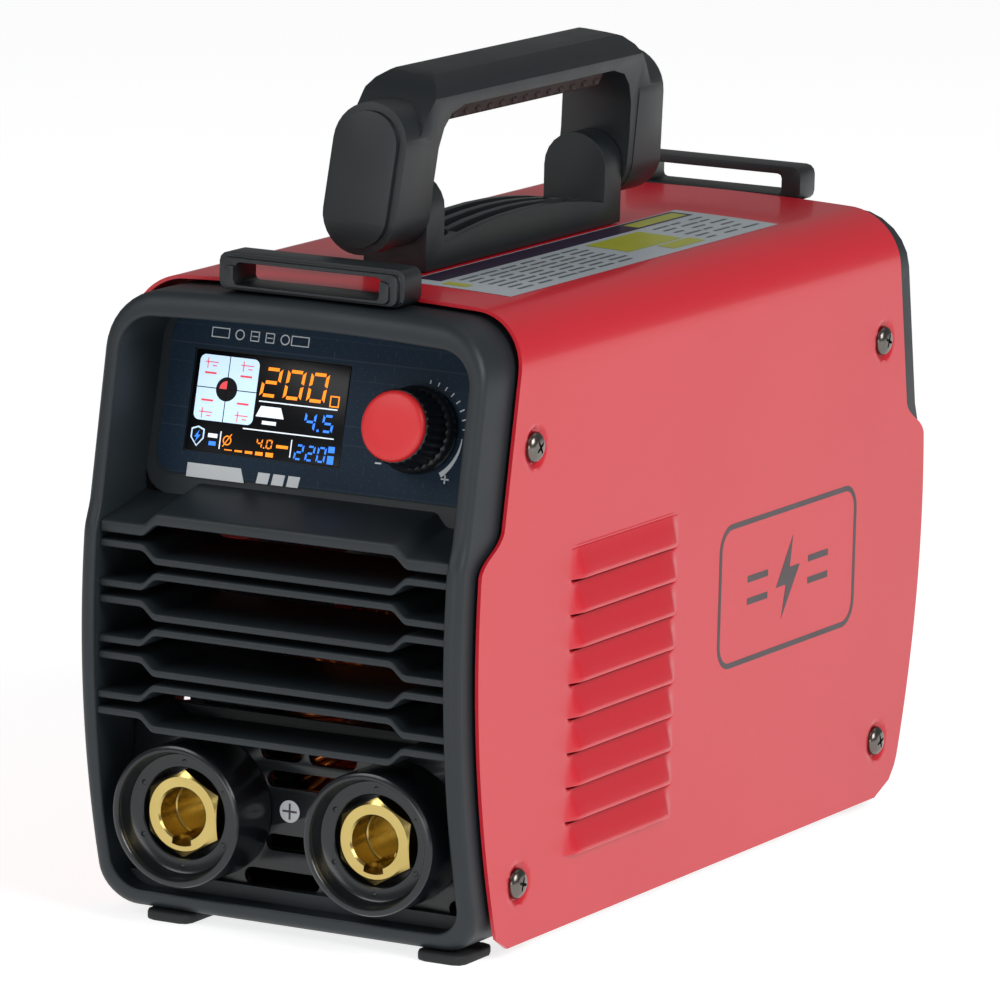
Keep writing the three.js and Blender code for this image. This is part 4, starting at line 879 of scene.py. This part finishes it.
def build_panel_print():
    """Plain marks that stand where a maker prints pictograms, names and a scale."""
    shapes = []
    row, x = up_panel(150.3), -33.5
    for kind, half, step in (
        ("frame", 2.6, 5.6), ("ring", 1.35, 4.4), ("tile", 1.3, 4.4),
        ("tile", 1.3, 4.4), ("ring", 1.35, 4.4), ("frame", 2.6, 5.6),
    ):
        if kind == "ring":
            shapes.append(ring_mark(x, row, half, half - 0.3))
        else:
            shapes.append(frame_mark(x - half, row - 1.3, x + half, row + 1.3, 0.25))
        if kind == "tile":
            shapes.append(bar(x - 0.8, row - 0.12, x + 0.8, row + 0.12))
        x += step
    base = up_panel(115.6)
    shapes.append([(-38.2, base - 1.7), (-21.2, base - 1.7), (-22.6, base + 1.9), (-38.2, base + 1.9)])
    shapes += [slanted(-17.8 + i * 4.4, base - 1.3, base + 1.5, 3.4, 0.4) for i in range(3)]
    s = up_panel(KNOB_Z)
    shapes += knob_scale(s)
    x, low = KNOB_X - 10.6, s - 9.4
    shapes.append(bar(x - 0.9, low - 0.2, x + 0.9, low + 0.2))
    x, low = KNOB_X + 8.8, s - 11.4
    shapes += [bar(x - 1.1, low - 0.2, x + 1.1, low + 0.2), bar(x - 0.2, low - 1.1, x + 0.2, low + 1.1)]
    printed("panel_print", shapes, PRINT_OUT, PRINT_GREY)


def film_with_lines():
    """The film's fine maze of paler lines, drawn where two crossing brick patterns meet."""
    tree = PANEL_FILM.node_tree
    coords = [n for n in tree.nodes if n.type == "TEX_COORD"][0].outputs["Object"]
    turned = add(tree, "ShaderNodeMapping", {"Vector": coords, "Rotation": (math.pi / 2, 0, 0)})
    fields = []
    for width, height, offset in ((5.0, 1.6, 0.5), (3.1, 2.3, 0.33)):
        fields.append(add(
            tree, "ShaderNodeTexBrick",
            {
                "Vector": turned.outputs["Vector"], "Scale": 1.0, "Mortar Size": 0.16 * MM,
                "Brick Width": width * MM, "Row Height": height * MM,
            },
            offset=offset,
        ).outputs["Fac"])
    lines = add(tree, "ShaderNodeMath", {0: fields[0], 1: fields[1]}, operation="MULTIPLY")
    tint = [n for n in tree.nodes if n.type == "MIX"][0].outputs["Result"]
    drawn = add(
        tree, "ShaderNodeMix", {"Factor": lines.outputs["Value"], "A": tint, "B": linear("2c3541")},
        data_type="RGBA",
    )
    tree.links.new(drawn.outputs["Result"], tree.nodes["Surface"].inputs["Base Color"])


def build_knob():
    """A ribbed skirt round a shaft, with a red cap; both turned about the panel's normal."""
    lean = Matrix.Rotation(-PANEL_LEAN, 4, "X")
    centre = Vector(panel_point(KNOB_X, up_panel(KNOB_Z), 0))

    def place(rings):
        return [[tuple(centre + (lean @ Vector(p))) for p in ring] for ring in rings]

    ribs, turns = 30, 240
    rings = []
    for radius, depth, cut in (
        (0, -2.0, 0), (10.6, -1.6, 0), (11.15, -2.0, 0), (11.15, -4.0, 0), (10.9, -4.7, 0.2),
        (10.2, -5.2, 0.5), (9.95, -9.0, 0.5), (9.6, -13.6, 0.45), (9.2, -14.1, 0.1),
        (8.9, -14.2, 0), (0, -14.2, 0),
    ):
        ring = []
        for a in round_turn(turns):
            r = radius - cut * (0.5 + 0.5 * math.cos(ribs * a))
            ring.append((r * math.cos(a), depth, r * math.sin(a)))
        rings.append(ring)
    skirt = mesh_object("knob_skirt", *skin(place(rings)))
    settle(skirt, "knob_skirt", KNOB_BLACK, "knob", ("knob_body",), 40)
    profile = [
        (0, -14.0), (8.8, -14.0), (9.0, -14.4), (8.95, -15.1),
        (8.5, -15.7), (7.6, -16.0), (4, -16.08), (0, -16.1),
    ]
    cap = mesh_object("knob_button", *skin(place(lathe(profile, (0, 0, 0), 96))))
    settle(cap, "knob_button", RED_ABS, "knob", ("knob_cap",), 50)


# ---- sockets -------------------------------------------------------------------------------------


def hexagon_radius(angle, flats):
    """The distance to a hexagon's side, where flats is half its width across them."""
    sector = math.radians(60)
    inside = (angle + math.pi / 2) % sector - sector / 2
    return flats / math.cos(inside)


def build_socket_brass(name, x):
    """A hexagon with a turned face, and a keyed bore with a wider ring inside it."""
    turns, bore, flats, face = 144, 6.6, 9.87, 9.6
    undercut, chamfer, tube = bore + 0.35, bore + 0.45, 7.9
    key_reach, key_half_width = 8.4, 3.1
    angles = round_turn(turns)

    def at(radius, a, depth):
        return (x + radius * math.cos(a), SOCKET_Y + depth, SOCKET_Z + radius * math.sin(a))

    def plain(radius, depth):
        return [at(radius, a, depth) for a in angles]

    def keyed(radius, depth):
        """A ring that runs out to the key's slot at its bottom."""
        ring = []
        for a in angles:
            slot = math.sin(a) < 0 and abs(math.cos(a)) * key_reach < key_half_width
            ring.append(at(key_reach if slot else radius, a, depth))
        return ring

    corners = [hexagon_radius(a, flats) for a in angles]
    rings = [
        plain(0, 19.9), plain(bore, 19.9), plain(bore, 16.0), keyed(bore, 15.9), keyed(bore, 9.0),
        keyed(undercut, 8.7), keyed(undercut, 5.2), keyed(bore, 4.9), keyed(bore, 0.5), keyed(chamfer, 0.0),
        plain(face, 0),
        [at(r, a, 0.1 + (r - face) * 0.55) for r, a in zip(corners, angles)],
        [at(r, a, 8.1) for r, a in zip(corners, angles)],
        plain(tube, 8.1), plain(tube, 33.9), plain(0, 33.9),
    ]
    obj = mesh_object(name, *skin(rings))
    settle(obj, name, TURNED_BRASS, "case", (name.replace("_insert", ""),), 14)


def build_collar(name, node, x):
    """A glossy collar: a narrow rim, a conical wall and a dished floor round the brass."""
    profile = [
        (8.3, 13.2), (8.3, 8.5), (11.9, 8.5), (11.9, 1.1), (12.2, 0.8), (14.6, 0.7), (15.4, 0.3),
        (15.9, -0.6), (16.2, -2.6), (16.4, -3.6), (16.7, -4.0), (17.1, -4.1), (17.7, -4.0),
        (18.2, -3.7), (18.5, -3.2), (18.5, 13.2),
    ]
    obj = mesh_object(name, *skin(lathe(profile, (x, SOCKET_Y, SOCKET_Z), 96), around=True))
    settle(obj, name, POLISHED_BLACK, "case", (node,), 28)


def build_plus_mark():
    """The plus sign printed between the sockets, beside the right-hand one."""
    x, z, arm, half = -4.2, 31.5, 2.1, 0.28

    def on_plate(a, b, out):
        return (a, PLATE_Y - out, b)

    disc = mesh_object("pole_disc", *prism(disc_mark(x, z, 2.9, 40), on_plate, 0.01, 0.04))
    settle(disc, "pole_disc", PRINT_GREY, "case")
    shapes = [
        bar(x - arm, z - half, x + arm, z + half), bar(x - half, z + half, x + half, z + arm),
        bar(x - half, z - arm, x + half, z - half),
    ]
    cross = mesh_object("pole_cross", *prisms(shapes, on_plate, 0.045, 0.075), merge=False)
    settle(cross, "pole_cross", PRINT_DARK, "case")


def build_sockets():
    """Both sockets with their collars' gate marks, and the plate that they stand on."""
    marks = []
    for pole, x in (("minus", -SOCKET_X), ("plus", SOCKET_X)):
        build_socket_brass(f"socket_brass_{pole}_insert", x)
        build_collar(f"socket_collar_{pole}_ring", f"socket_collar_{pole}", x)
        for i in range(6):
            a = math.radians(30 + 60 * i)
            place = (x + 13.5 * math.cos(a), SOCKET_Y + 0.76, SOCKET_Z + 13.5 * math.sin(a))
            marks.append((place, (math.pi / 2, 0, 0)))
    spot = mesh_object("spot", *skin(dome(0.75, 0.22)))
    copies("socket_collar_marks", spot, marks, POLISHED_BLACK, "case")
    moulded("socket_plate", POLISHED_BLACK, "case", 0.35)
    build_plus_mark()


# ---- handle --------------------------------------------------------------------------------------


def on_handle(x, y, z):
    """A point given from the handle's pivot, with the handle's lean."""
    c, n = math.cos(HANDLE_TILT), math.sin(HANDLE_TILT)
    return (x * c + z * n, HANDLE_Y + y, PIVOT_Z - x * n + z * c)


def dome(radius, height, turns=16):
    """A low dome on the XY plane, closed below."""
    profile = [(0, 0)]
    for i in range(4):
        a = i / 4 * math.pi / 2
        profile.append((radius * math.cos(a), height * math.sin(a)))
    profile.append((0, height))
    return [[(r * math.cos(a), r * math.sin(a), z) for a in round_turn(turns)] for r, z in profile]


def build_handle():
    """The bail, its base, the grip pad with its bumps, and the two strap loops."""
    moulded("handle_bail", HANDLE_ABS, "handle", 0.9, segments=3)
    moulded("handle_base", HANDLE_ABS, "case", 0.8, segments=3)
    grip = bevelled(cad_copy("handle_grip"), 1.2, 3)
    settle(grip, "handle_grip_pad", GRIP_RUBBER, "handle", ("handle_grip",), 40)
    places = []
    for side in (1, -1):
        for i in range(13):
            spot = on_handle(side * 6.45, -39 + i * 6.5, 24.9)
            places.append((spot, (0, side * 1.2 + HANDLE_TILT, 0)))
    bump = mesh_object("bump", *skin(dome(1.15, 0.4)))
    copies("handle_grip_bumps", bump, places, GRIP_RUBBER, "handle")
    for loop in ("strap_loop_front", "strap_loop_rear"):
        moulded(loop, HANDLE_ABS, "case", 0.9, segments=3)


# ---- screws --------------------------------------------------------------------------------------


def pan_head():
    """A pan-head screw along +X with a cross recess, seated at x = 0."""
    angles = round_turn(48)
    profile = [(0, 0.0), (3.95, 0.0), (4.0, 0.5), (3.85, 1.05), (3.45, 1.6), (2.7, 2.05), (2.3, 2.2)]
    rings = [[(out, r * math.cos(a), r * math.sin(a)) for a in angles] for r, out in profile]
    for radius, out in ((2.0, 2.3), (1.7, 1.4), (0.6, 0.9)):
        ring = []
        for a in angles:
            r = radius * (0.34 + 0.66 * (0.5 + 0.5 * math.cos(4 * a)) ** 2)
            ring.append((out, r * math.cos(a), r * math.sin(a)))
        rings.append(ring)
    points, faces = skin(rings)
    faces.append(tuple(range(len(points) - len(angles), len(points))))
    return mesh_object("pan_head", points, faces)


def build_screws():
    """Eight pan heads in the cover's seats, each stopped at its own turn."""
    places = []
    for side in (1, -1):
        for end in (-1, 1):
            for i, (y, z) in enumerate(SCREW_PLACES):
                x = side * (COVER_HALF_WIDTH - DIMPLE_DEPTH + 0.1)
                twist = 0.4 + 0.7 * i + 0.5 * side + 0.3 * end
                places.append(((x, end * y, z), (twist, 0, 0 if side > 0 else math.pi)))
    nodes = [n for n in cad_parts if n.startswith("cover_screw")]
    copies("cover_screws", pan_head(), places, SCREW_NICKEL, "case", nodes, 30)


# ---- labels --------------------------------------------------------------------------------------


def top_skin(x):
    """The height of the cover's crowned top."""
    flat = COVER_HALF_WIDTH - COVER_CORNER
    return COVER_TOP + CROWN * (1 - min(1.0, abs(x) / flat) ** 2)


def laid(name, rectangles, lift, material, replaces=()):
    """Thin printed areas that follow the cover's crowned top."""
    parts = []
    for x0, x1, y0, y1 in rectangles:
        steps = max(1, int((x1 - x0) / 3))
        rings = []
        for i in range(steps + 1):
            x = x0 + (x1 - x0) * i / steps
            low, high = top_skin(x) + lift - PRINT_THICKNESS, top_skin(x) + lift
            rings.append([(x, y0, low), (x, y1, low), (x, y1, high), (x, y0, high)])
        parts.append(skin(rings, caps=True))
    obj = mesh_object(name, *joined(parts), merge=False)
    settle(obj, name, material, "case", replaces)


def build_top_label():
    """A plain film label: a dark bar, pale fields, green blocks and rows of line marks."""
    x0, x1, y0, y1 = 10.5, 41.5, -87, 64
    laid("top_label_film", [(x0, x1, y0, y1)], 0.1, LABEL_SILVER, ("top_label",))
    laid("top_label_bar", [(x0 + 0.6, x0 + 7.5, y0 + 6, y1 - 4)], 0.16, LABEL_PURPLE)
    blocks = [(20, 33, -6, 24), (34, 39, 8, 26), (12.5, 17, 30, 58), (20, 27, -84, -80)]
    laid("top_label_blocks", blocks, 0.19, LABEL_GREEN)
    rows = []
    for i in range(7):
        x = 20.5 + i * 2.8
        for j in range(6):
            start = -76 + j * 11.0
            rows.append((x, x + 0.9, start, start + 9.6 - 2.5 * ((i * 3 + j * 5) % 4) / 3))
    for i in range(6):
        x = 21 + i * 3.2
        for j in range(3):
            start = 30 + j * 10.5
            rows.append((x, x + 0.9, start, start + 9 - 2.0 * ((i + 2 * j) % 3)))
    laid("top_label_lines", rows, 0.19, LABEL_LINES)


def build_side_emblem():
    """A generic electrical mark on each side: a rounded frame, and in it a bolt between plain bars."""
    y0, y1, z0, z1, line, radius = 4.4, 86.2, 54.6, 93.4, 1.5, 7.0
    outer = round_corners(y0, y1, z0, z1, radius, 8)
    inner = round_corners(y0 + line, y1 - line, z0 + line, z1 - line, radius - line, 8)
    my, mz = (y0 + y1) / 2, (z0 + z1) / 2
    bolt = ((2.5, 11), (-7, -2), (-1, -2), (-3.5, -11), (7, 2.5), (1, 2.5))
    shapes = [(outer, inner), [(my + a, mz + b) for a, b in bolt]]
    for start in (my - 24, my + 12):
        shapes += [bar(start, mz + row - 0.9, start + 12, mz + row + 0.9) for row in (-3, 3)]

    def on_right(a, b, out):
        return (COVER_HALF_WIDTH + out, a, b)

    def on_left(a, b, out):
        return (-COVER_HALF_WIDTH - out, a, b)

    for name, place in (("side_emblem_right", on_right), ("side_emblem_left", on_left)):
        obj = mesh_object(name, *prisms(shapes, place, 0.01, 0.05), merge=False)
        settle(obj, name, PRINT_DARK, "case")


# ---- inside and rear -----------------------------------------------------------------------------


def build_choke():
    """A ring core wound with thick enamelled copper, just behind the grille."""
    centre, ring, tube, wire, turns = Vector((8.0, -76.8, 50.5)), 26.0, 6.8, 1.0, 62
    loop = []
    for a in round_turn(20):
        out = Vector((math.cos(a), 0, math.sin(a)))
        loop.append([
            tuple(out * (tube + wire + wire * math.cos(b)) + Vector((0, wire * math.sin(b), 0)))
            for b in round_turn(8)
        ])
    shape = mesh_object("wire_turn", *skin(loop, around=True))
    places = []
    for a in round_turn(turns):
        where = centre + Vector((ring * math.cos(a), 0, ring * math.sin(a)))
        places.append((tuple(where), (math.pi / 2, -a, 0)))
    copies("choke_windings", shape, places, ENAMELLED_COPPER, "case", ("output_choke",), 60)


# CAD nodes that are hidden or seen only in glimpses, and keep their own shapes.
CARRIED = {
    "base_tray": ZINC_STEEL, "control_overlay": PANEL_FILM, "display_module": EXTRUDED_ALUMINIUM,
    "control_board": SOLDER_MASK, "encoder_body": ZINC_STEEL, "encoder_shaft": ZINC_STEEL,
    "socket_nut_minus": ZINC_STEEL, "socket_nut_plus": ZINC_STEEL, "busbar_minus": ENAMELLED_COPPER,
    "busbar_plus": ENAMELLED_COPPER, "busbar_bolt_minus": ZINC_STEEL, "busbar_bolt_plus": ZINC_STEEL,
    "handle_pin_front": ZINC_STEEL, "handle_pin_rear": ZINC_STEEL, "handle_bolt_front": SCREW_NICKEL,
    "handle_bolt_rear": SCREW_NICKEL, "fan_rotor": FAN_PLASTIC, "fan_frame": FAN_PLASTIC,
    "gland_nut": BLACK_NYLON, "main_board": SOLDER_MASK, "heatsink_left": EXTRUDED_ALUMINIUM,
    "heatsink_middle": EXTRUDED_ALUMINIUM, "transformer_core": SINTERED_FERRITE,
    "transformer_winding": ENAMELLED_COPPER, "capacitor": CAN_SLEEVE, "bridge_rectifier": POLISHED_BLACK,
}


FAN_Z, GUARD_Y, GUARD_RINGS = 62.0, 113.3, (12.0, 20.5, 29.0, 37.0)
RING_WIRE, SPOKE_WIRE = 0.95, 0.9


def wire_path(points, radius, closed):
    """A round wire along points that lie in the guard's plane."""
    rings = []
    for i, (x, z) in enumerate(points):
        before = points[i - 1] if closed or i else points[i]
        after = points[(i + 1) % len(points)] if closed or i < len(points) - 1 else points[i]
        along = Vector((after[0] - before[0], 0, after[1] - before[1])).normalized()
        across = along.cross(Vector((0, 1, 0))) * radius
        rings.append([
            (x + across.x * math.cos(b), GUARD_Y + radius * math.sin(b), z + across.z * math.cos(b))
            for b in round_turn(10)
        ])
    return skin(rings, around=closed, caps=not closed)


def build_fan_guard():
    """Round wires: four rings and eight spokes, with a domed hub plate."""
    def at(radius, a):
        return (radius * math.cos(a), FAN_Z + radius * math.sin(a))

    parts = [wire_path([at(ring, a) for a in round_turn(72)], RING_WIRE, True) for ring in GUARD_RINGS]
    for a in round_turn(8):
        parts.append(wire_path([at(r, a) for r in (4.0, 15.0, 27.0, 39.6)], SPOKE_WIRE, False))
    hub = [(0, -0.9), (5.2, -0.9), (5.9, -0.4), (6.0, 0.2), (5.4, 0.7), (3.0, 0.95), (0, 1.0)]
    parts.append(skin(lathe(hub, (0, GUARD_Y, FAN_Z), 40)))
    guard = mesh_object("fan_guard_wires", *joined(parts))
    settle(guard, "fan_guard_wires", BLACK_WIRE, "case", ("fan_guard",), 45)


def build_rear_and_inside():
    """The rear's fittings and the feet, and finishes for the CAD nodes that stay."""
    build_fan_guard()
    moulded("rear_bezel", TEXTURED_ABS, "case", 0.6)
    moulded("switch_housing", POLISHED_BLACK, "case", 0.5)
    moulded("switch_rocker", RED_ABS, "rocker", 0.8)
    moulded("cable_gland", BLACK_NYLON, "case", 0.5)
    for node in [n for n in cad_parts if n.startswith("foot_")]:
        moulded(node, FOOT_RUBBER, "case", 0.7)
    for node, material in CARRIED.items():
        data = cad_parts[node].data
        data.materials.clear()
        data.materials.append(material)


# ---- stage, lights and camera --------------------------------------------------------------------
CAMERA_AZIMUTH, CAMERA_ELEVATION, CAMERA_ROLL = 28.018, 10.528, 1.483
CAMERA_PLACE = Vector((1028.6, -1945.1, 504.06)) * MM
CAMERA_LENS = 305.03
FLOOR_HALF, FLOOR_GLOW, WORLD_GLOW = 6.0, 0.78, 0.22


def build_camera():
    """A long lens in front of the control end, a little to its right and above it."""
    az, el, roll = (math.radians(v) for v in (CAMERA_AZIMUTH, CAMERA_ELEVATION, CAMERA_ROLL))
    ahead = Vector((-math.sin(az) * math.cos(el), math.cos(az) * math.cos(el), -math.sin(el)))
    right = Vector((math.cos(az), math.sin(az), 0))
    up = right.cross(ahead)
    level_right = right * math.cos(roll) + up * math.sin(roll)
    level_up = up * math.cos(roll) - right * math.sin(roll)
    lens = bpy.data.cameras.new("camera")
    lens.lens = CAMERA_LENS
    lens.sensor_width = 36.0
    lens.clip_start, lens.clip_end = 0.1, 30
    camera = bpy.data.objects.new("camera", lens)
    bpy.context.scene.collection.objects.link(camera)
    turn = Matrix((level_right, level_up, -ahead)).transposed()
    camera.matrix_world = Matrix.Translation(CAMERA_PLACE) @ turn.to_4x4()
    bpy.context.scene.camera = camera


def softbox(name, place, aim, width, height, power):
    """A rectangular area light that faces a point."""
    data = bpy.data.lights.new(name, "AREA")
    data.shape = "RECTANGLE"
    data.size, data.size_y = width, height
    data.energy = power
    light = bpy.data.objects.new(name, data)
    bpy.context.scene.collection.objects.link(light)
    light.location = place
    light.rotation_euler = (Vector(aim) - Vector(place)).to_track_quat("-Z", "Y").to_euler()


def build_stage():
    """A pale floor, a dim white surround and four softboxes."""
    corners = [(-1, -1), (1, -1), (1, 1), (-1, 1)]
    mesh = bpy.data.meshes.new("floor")
    mesh.from_pydata([(x * FLOOR_HALF, y * FLOOR_HALF, 0) for x, y in corners], [], [(0, 1, 2, 3)])
    floor = bpy.data.objects.new("floor", mesh)
    bpy.context.scene.collection.objects.link(floor)
    paper = finish("white_paper_floor", "bdbebe", "bbbcbc", 0.9, 3.0, 0.01)
    surface = paper.node_tree.nodes["Surface"]
    surface.inputs["Emission Color"].default_value = linear("ffffff")
    surface.inputs["Emission Strength"].default_value = FLOOR_GLOW
    mesh.materials.append(paper)
    world = bpy.data.worlds.new("studio")
    bpy.context.scene.world = world
    world.use_nodes = True
    tree = world.node_tree
    tree.nodes.clear()
    glow = add(tree, "ShaderNodeBackground", {"Color": linear("ffffff"), "Strength": WORLD_GLOW})
    add(tree, "ShaderNodeOutputWorld", {"Surface": glow.outputs["Background"]})
    middle = (0, 0, 0.1)
    softbox("key", (-0.9, -1.6, 1.3), middle, 0.9, 0.9, 10)
    softbox("side_fill", (1.95, -0.6, 1.45), middle, 1.2, 1.2, 36)
    softbox("top", (0.3, 0.8, 1.9), middle, 1.2, 1.2, 2)
    softbox("front_strip", (0.3, -2.2, 0.3), middle, 1.4, 0.5, 7)
    bpy.context.scene.view_settings.view_transform = "Standard"


build_camera()
build_cover()
build_front_moulding()
build_display()
film_with_lines()
build_panel_print()
build_knob()
build_sockets()
build_handle()
build_screws()
build_top_label()
build_side_emblem()
build_choke()
build_rear_and_inside()
build_stage()
